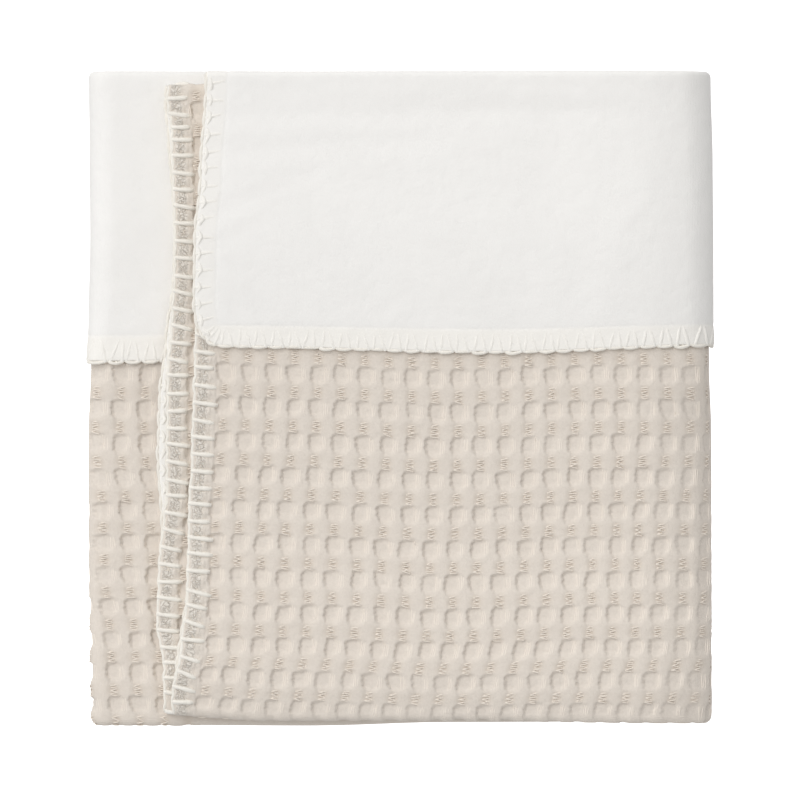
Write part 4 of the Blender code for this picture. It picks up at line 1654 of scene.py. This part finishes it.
def float_chains(region, chance):
    """Threads that float across the ladders and along the ridges, in a region of the cloth."""
    (x0, x1), (y0, y1) = region
    corners_x, corners_y = np.meshgrid([x0, 0.5 * (x0 + x1), x1], [y0, 0.5 * (y0 + y1), y1])
    column, row = weave_cells(corners_x, corners_y)
    threads = []
    for i in range(math.floor(column.min()), math.ceil(column.max()) + 1):
        for j in range(math.floor(row.min()), math.ceil(row.max()) + 1):
            threads += cell_threads(i, j, chance)
    columns, rows, bridging = (np.array(values) for values in zip(*threads))
    x, y = flat_of_cells(columns, rows)
    inside = ((x > x0) & (x < x1) & (y > y0) & (y < y1)).all(axis=1)
    columns, rows, x, y = columns[inside], rows[inside], x[inside], y[inside]
    bridging = bridging[inside][:, None]
    relief, _ = waffle_relief(columns, rows)
    ends = np.maximum(relief[:, :1], relief[:, -1:])
    arch = 1.0 - FLOAT_STEPS**2
    relief = np.where(bridging > 0.5, np.maximum(relief, ends * arch), relief)
    rise = 0.5 * LAYER_CLOTH + relief * hem_press(x) - FLOAT_SINK
    rise = rise + (FLOAT_ARCH + BRIDGE_ARCH * bridging) * arch
    girth = FLOAT_GIRTH[0] + FLOAT_GIRTH[1] * arch
    return [(chain, girth, False) for chain in fold(x, y, rise)]


# ---------------------------------------------------------------- operators


class BLANKET_OT_waffle_cloth(bpy.types.Operator):
    """Weave and fold the waffle cotton face, a panel at a time"""

    bl_idname = "blanket.waffle_cloth"
    bl_label = "Waffle Cloth"

    def execute(self, context):
        material = waffle_material()
        for panel in WAFFLE_PANELS:
            weave_panel(panel, material)
        return {"FINISHED"}


class BLANKET_OT_lining_cloth(bpy.types.Operator):
    """Fold the plain cotton lining"""

    bl_idname = "blanket.lining_cloth"
    bl_label = "Lining Cloth"

    def execute(self, context):
        lining_sheet(lining_material())
        return {"FINISHED"}


class BLANKET_OT_edging(bpy.types.Operator):
    """Stitch the edge: a rope along the rim, bars on the woven side, loops and turns on the lining"""

    bl_idname = "blanket.edging"
    bl_label = "Stitched Edging"

    def execute(self, context):
        sizes = context.scene.blanket_edging
        colours, tree = context.scene.blanket_colours, yarn_tree()
        cream = yarn_material("edging_yarn", colours.yarn)
        pale = yarn_material("edging_yarn_pale", colours.loops)
        pieces = (
            ("edging_rope", rope_chain(sizes), sizes.rope_thick, cream),
            ("edging_bars", bar_chains(sizes), sizes.yarn_thick, cream),
            ("edging_loops", loop_chains(sizes), sizes.yarn_thick, pale),
            ("edging_knots", knot_chains(sizes), sizes.yarn_thick, pale),
        )
        for name, chains, thickness, material in pieces:
            piece = finished(lay_yarn(name, chains, thickness, YARN_SIDES, tree), material)
            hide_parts("edging_yarn")
        return {"FINISHED"}


class BLANKET_OT_floats(bpy.types.Operator):
    """Lay the threads that float between the waffle's pockets"""

    bl_idname = "blanket.floats"
    bl_label = "Floating Threads"

    def execute(self, context):
        sizes = context.scene.blanket_weave
        chance = np.random.default_rng(sizes.seed + 3)
        front = (along_at("front layer", SHOWN_PLACE), along_at("back layer", FRONT_CENTRE))
        back = (along_at("back layer", FRONT_CENTRE) + LOOK_IN, along_at("back layer", BACK_CENTRE))
        regions = (
            ((across_at("outer fold", 0.4), WIDTH - BAND_END), front),
            ((STRIP_START + SIDE_PANEL_BLANK, across_at("left fold", 1.0)), front),
            ((STRIP_BAND_END, STRIP_WIDE - STRIP_BLANK), back),
        )
        chains = [chain for region in regions for chain in float_chains(region, chance)]
        tree = bpy.data.node_groups["laid_yarn"]
        mesh = lay_yarn("waffle_floats", chains, sizes.thread_thick, THREAD_SIDES, tree)
        finished(mesh, lit_thread_material())
        return {"FINISHED"}


class BLANKET_OT_stage(bpy.types.Operator):
    """Set up the floor, the soft lights and the camera over the blanket"""

    bl_idname = "blanket.stage"
    bl_label = "Stage"

    def execute(self, context):
        sizes = context.scene.blanket_stage
        floor_under(sizes)
        soft_lights(sizes)
        camera_over(sizes)
        return {"FINISHED"}


# The floor's half size, the stack's middle height, where the view's centre lies, and the key light
FLOOR_HALF = 2.0
MIDDLE_HIGH = 0.028
VIEW_CENTRE = (-0.22, -1.1, 0.0)
SENSOR_WIDE = 36.0
KEY_TURN = math.radians(135.0)
KEY_SIDE = (-0.75, 0.66, 0.0)


def floor_under(sizes):
    """A plain pale floor."""
    mesh = bpy.data.meshes.new("floor")
    corners = [(-FLOOR_HALF, -FLOOR_HALF, 0.0), (FLOOR_HALF, -FLOOR_HALF, 0.0),
               (FLOOR_HALF, FLOOR_HALF, 0.0), (-FLOOR_HALF, FLOOR_HALF, 0.0)]
    mesh.from_pydata(corners, [], [(0, 1, 2, 3)])
    floor = bpy.data.objects.new("floor", mesh)
    bpy.context.scene.collection.objects.link(floor)
    shade = Shading("floor_paper")
    levels = {
        "Roughness": 1.0,
        "Specular IOR Level": 0.0,
        "Emission Color": (1.0, 1.0, 1.0, 1.0),
        "Emission Strength": 1.0,
    }
    shade.surface((*sizes.floor, 1.0), levels)
    mesh.materials.append(shade.material)
    floor.visible_diffuse = False


def soft_lights(sizes):
    """A large soft light at the upper left, and white light all round, stronger from its side."""
    lamp = bpy.data.lights.new("key", "SUN")
    lamp.angle = sizes.key_soft
    lamp.energy = sizes.key_strength
    key = bpy.data.objects.new("key", lamp)
    bpy.context.scene.collection.objects.link(key)
    key.location = (-1.0, 1.0, 1.5)
    key.rotation_euler = (0.0, 0.5 * math.pi - sizes.key_high, KEY_TURN)
    world = bpy.data.worlds.new("studio")
    world.use_nodes = True
    tree = world.node_tree
    background = tree.nodes["Background"]
    background.inputs["Color"].default_value = (1.0, 1.0, 1.0, 1.0)
    place = tree.nodes.new("ShaderNodeTexCoord")
    towards = tree.nodes.new("ShaderNodeVectorMath")
    towards.operation = "DOT_PRODUCT"
    towards.inputs[1].default_value = KEY_SIDE
    slope = tree.nodes.new("ShaderNodeMath")
    slope.operation = "MULTIPLY_ADD"
    slope.inputs[1].default_value = sizes.sky * sizes.sky_slope
    slope.inputs[2].default_value = sizes.sky
    tree.links.new(place.outputs["Generated"], towards.inputs[0])
    tree.links.new(towards.outputs["Value"], slope.inputs[0])
    tree.links.new(slope.outputs["Value"], background.inputs["Strength"])
    bpy.context.scene.world = world
    bpy.context.scene.view_settings.view_transform = "Standard"


def camera_over(sizes):
    """A camera straight above, with the view's width at the stack's middle height."""
    data = bpy.data.cameras.new("camera")
    data.sensor_width = SENSOR_WIDE
    data.lens = SENSOR_WIDE * (sizes.camera_high - MIDDLE_HIGH) / sizes.view_wide
    data.clip_start = 0.1
    data.clip_end = 20.0
    camera = bpy.data.objects.new("camera", data)
    bpy.context.scene.collection.objects.link(camera)
    camera.location = (*placed(np.array(VIEW_CENTRE))[:2], sizes.camera_high)
    bpy.context.scene.camera = camera


class BLANKET_PT_panel(bpy.types.Panel):
    """Lists the blanket's pieces and their sizes"""

    bl_idname = "BLANKET_PT_panel"
    bl_label = "Waffle Blanket"
    bl_space_type = "VIEW_3D"
    bl_region_type = "UI"
    bl_category = "Blanket"

    def draw(self, context):
        layout = self.layout
        for name in GROUPS:
            box = layout.box()
            group = getattr(context.scene, name)
            for key in group.__annotations__:
                box.prop(group, key)
        for operator in OPERATORS:
            layout.operator(operator.bl_idname)


GROUPS = {
    "blanket_weave": WeaveSizes,
    "blanket_edging": EdgingSizes,
    "blanket_colours": BlanketColours,
    "blanket_stage": StageSizes,
}
OPERATORS = (
    BLANKET_OT_waffle_cloth,
    BLANKET_OT_lining_cloth,
    BLANKET_OT_edging,
    BLANKET_OT_floats,
    BLANKET_OT_stage,
)


def register():
    for group in GROUPS.values():
        bpy.utils.register_class(group)
    for name, group in GROUPS.items():
        setattr(bpy.types.Scene, name, bpy.props.PointerProperty(type=group))
    for operator in OPERATORS:
        bpy.utils.register_class(operator)
    bpy.utils.register_class(BLANKET_PT_panel)


def unregister():
    bpy.utils.unregister_class(BLANKET_PT_panel)
    for operator in reversed(OPERATORS):
        bpy.utils.unregister_class(operator)
    for name, group in GROUPS.items():
        delattr(bpy.types.Scene, name)
        bpy.utils.unregister_class(group)


def main():
    register()
    bpy.ops.blanket.lining_cloth()
    bpy.ops.blanket.waffle_cloth()
    bpy.ops.blanket.edging()
    bpy.ops.blanket.floats()
    bpy.ops.blanket.stage()


if __name__ == "__main__":
    main()
